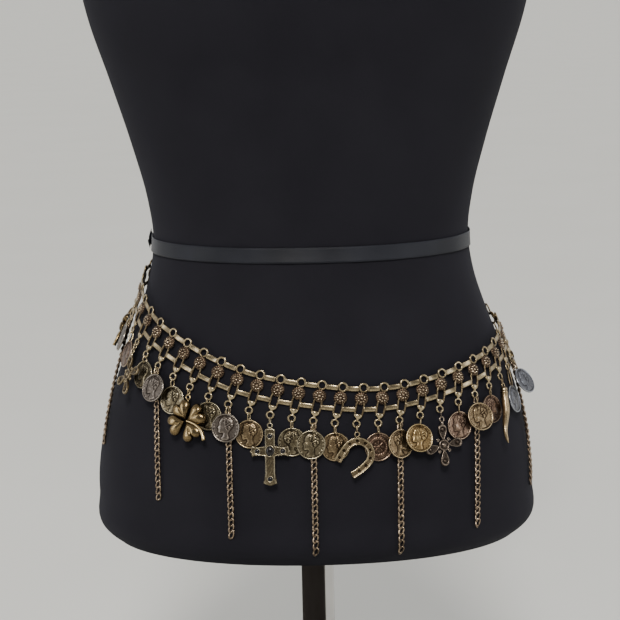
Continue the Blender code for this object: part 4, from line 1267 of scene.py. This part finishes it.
# %% [markdown]
# ## Floor, light and camera
# The floor is plain and pale, and goes so far back that it fills the picture behind the form. The
# light is soft: a bright sky behind, a window at each side, a lamp overhead, and a broad sun high in
# front, whose shadow falls on the floor behind the form. A dark card stands round the pole, as a
# photographer would put it there. Only the chrome reflects it, and without it the pole would be as
# pale as the floor.


# %% Floor
def pale_floor():
    made = material("pale_floor")
    mottle = made.noise(3.0, 4.0)
    colour = made.ramp(mottle, (0.2, (0.69, 0.685, 0.635)), (0.8, (0.72, 0.715, 0.665)))
    return made.surface(colour, made.scaled(mottle, 0.85, 0.95), **{"Specular IOR Level": 0.1})


radii = np.append(np.geomspace(500.0, 0.6, 18), 0.3)
floor = Piece()
floor.rings(lathe(np.column_stack([radii, np.full(19, -0.0002)]), 64), end=[0, 0, -0.0002])
placed("floor", floor.mesh("floor", [pale_floor()]))
print("floor", len(floor.faces), "faces")

# %% Light
sky = Nodes(bpy.data.worlds.new("soft_studio"))
bpy.context.scene.world = sky.owner
direction = sky.node("TexCoord", "Generated", {})
behind = sky.node("SeparateXYZ", "Y", {"Vector": direction})
strength = sky.scaled(behind, 0.16, 1.08, -0.6, 0.5)
sky.set(sky.tree.nodes["Background"], {"Strength": strength, "Color": (0.99, 0.99, 1.0, 1.0)})


def aimed(name, lamp, direction, place=(0, 0, 0)):
    made = placed(name, lamp)
    made.location = place
    made.rotation_euler = Vector(direction).to_track_quat("-Z", "Y").to_euler()


def softbox(name, place, target, size, power, colour):
    lamp = bpy.data.lights.new(name, "AREA")
    lamp.shape = "RECTANGLE"
    lamp.size, lamp.size_y = size
    lamp.energy = power
    lamp.color = colour
    aimed(name, lamp, Vector(target) - Vector(place), place)


softbox("window_left", (-1.7, -0.8, 0.8), (0, 0, 0.45), (0.8, 1.3), 11.0, (0.95, 0.97, 1.0))
softbox("window_right", (1.7, -0.7, 0.8), (0, 0, 0.45), (0.8, 1.3), 10.0, (0.95, 0.97, 1.0))
softbox("overhead", (-0.3, -1.5, 1.9), (0, 0, 0.40), (0.8, 0.5), 9.0, (1.0, 0.96, 0.90))
sun = bpy.data.lights.new("skylight", "SUN")
sun.energy, sun.angle, sun.color = 2.3, radians(14), (1.0, 0.98, 0.95)
aimed("skylight", sun, (0.05, 1.30, -1.0))

# %% Dark card
turn = np.radians(np.linspace(-182, 52, 25))
line = 0.165 * np.column_stack([np.sin(turn), -np.cos(turn)])
card = Piece()
i = np.arange(24)
walls = np.stack([i, i + 1, i + 26, i + 25], -1).tolist()
card.add([(x, y, z) for z in (0.001, 0.195) for x, y in line.tolist()], walls)
card_finish = material("flag_cloth").surface((0.035, 0.026, 0.020, 1.0), 0.5)
flag = placed("dark_flag", card.mesh("dark_flag", [card_finish]))
flag.visible_camera = flag.visible_shadow = flag.visible_diffuse = False
print("dark card", len(walls), "faces")

# %% Camera
pitch, roll = radians(10.35), radians(-1.23)
ahead = Vector((0.0, cos(pitch), -sin(pitch)))
right = Vector((1.0, 0.0, 0.0))
above = right.cross(ahead)
rolled_right = right * cos(roll) + above * sin(roll)
rolled_up = above * cos(roll) - right * sin(roll)
pose = Matrix((rolled_right, rolled_up, -ahead)).transposed().to_4x4()
pose.translation = (-0.0018, -1.40, WAIST_Z + 0.194)
camera_data = bpy.data.cameras.new("camera")
camera_data.lens, camera_data.sensor_width = 105.4, 36.0
camera_data.clip_end = 1000.0
camera = placed("camera", camera_data)
camera.matrix_world = pose
bpy.context.scene.camera = camera
print("camera at", [round(v, 3) for v in pose.translation])
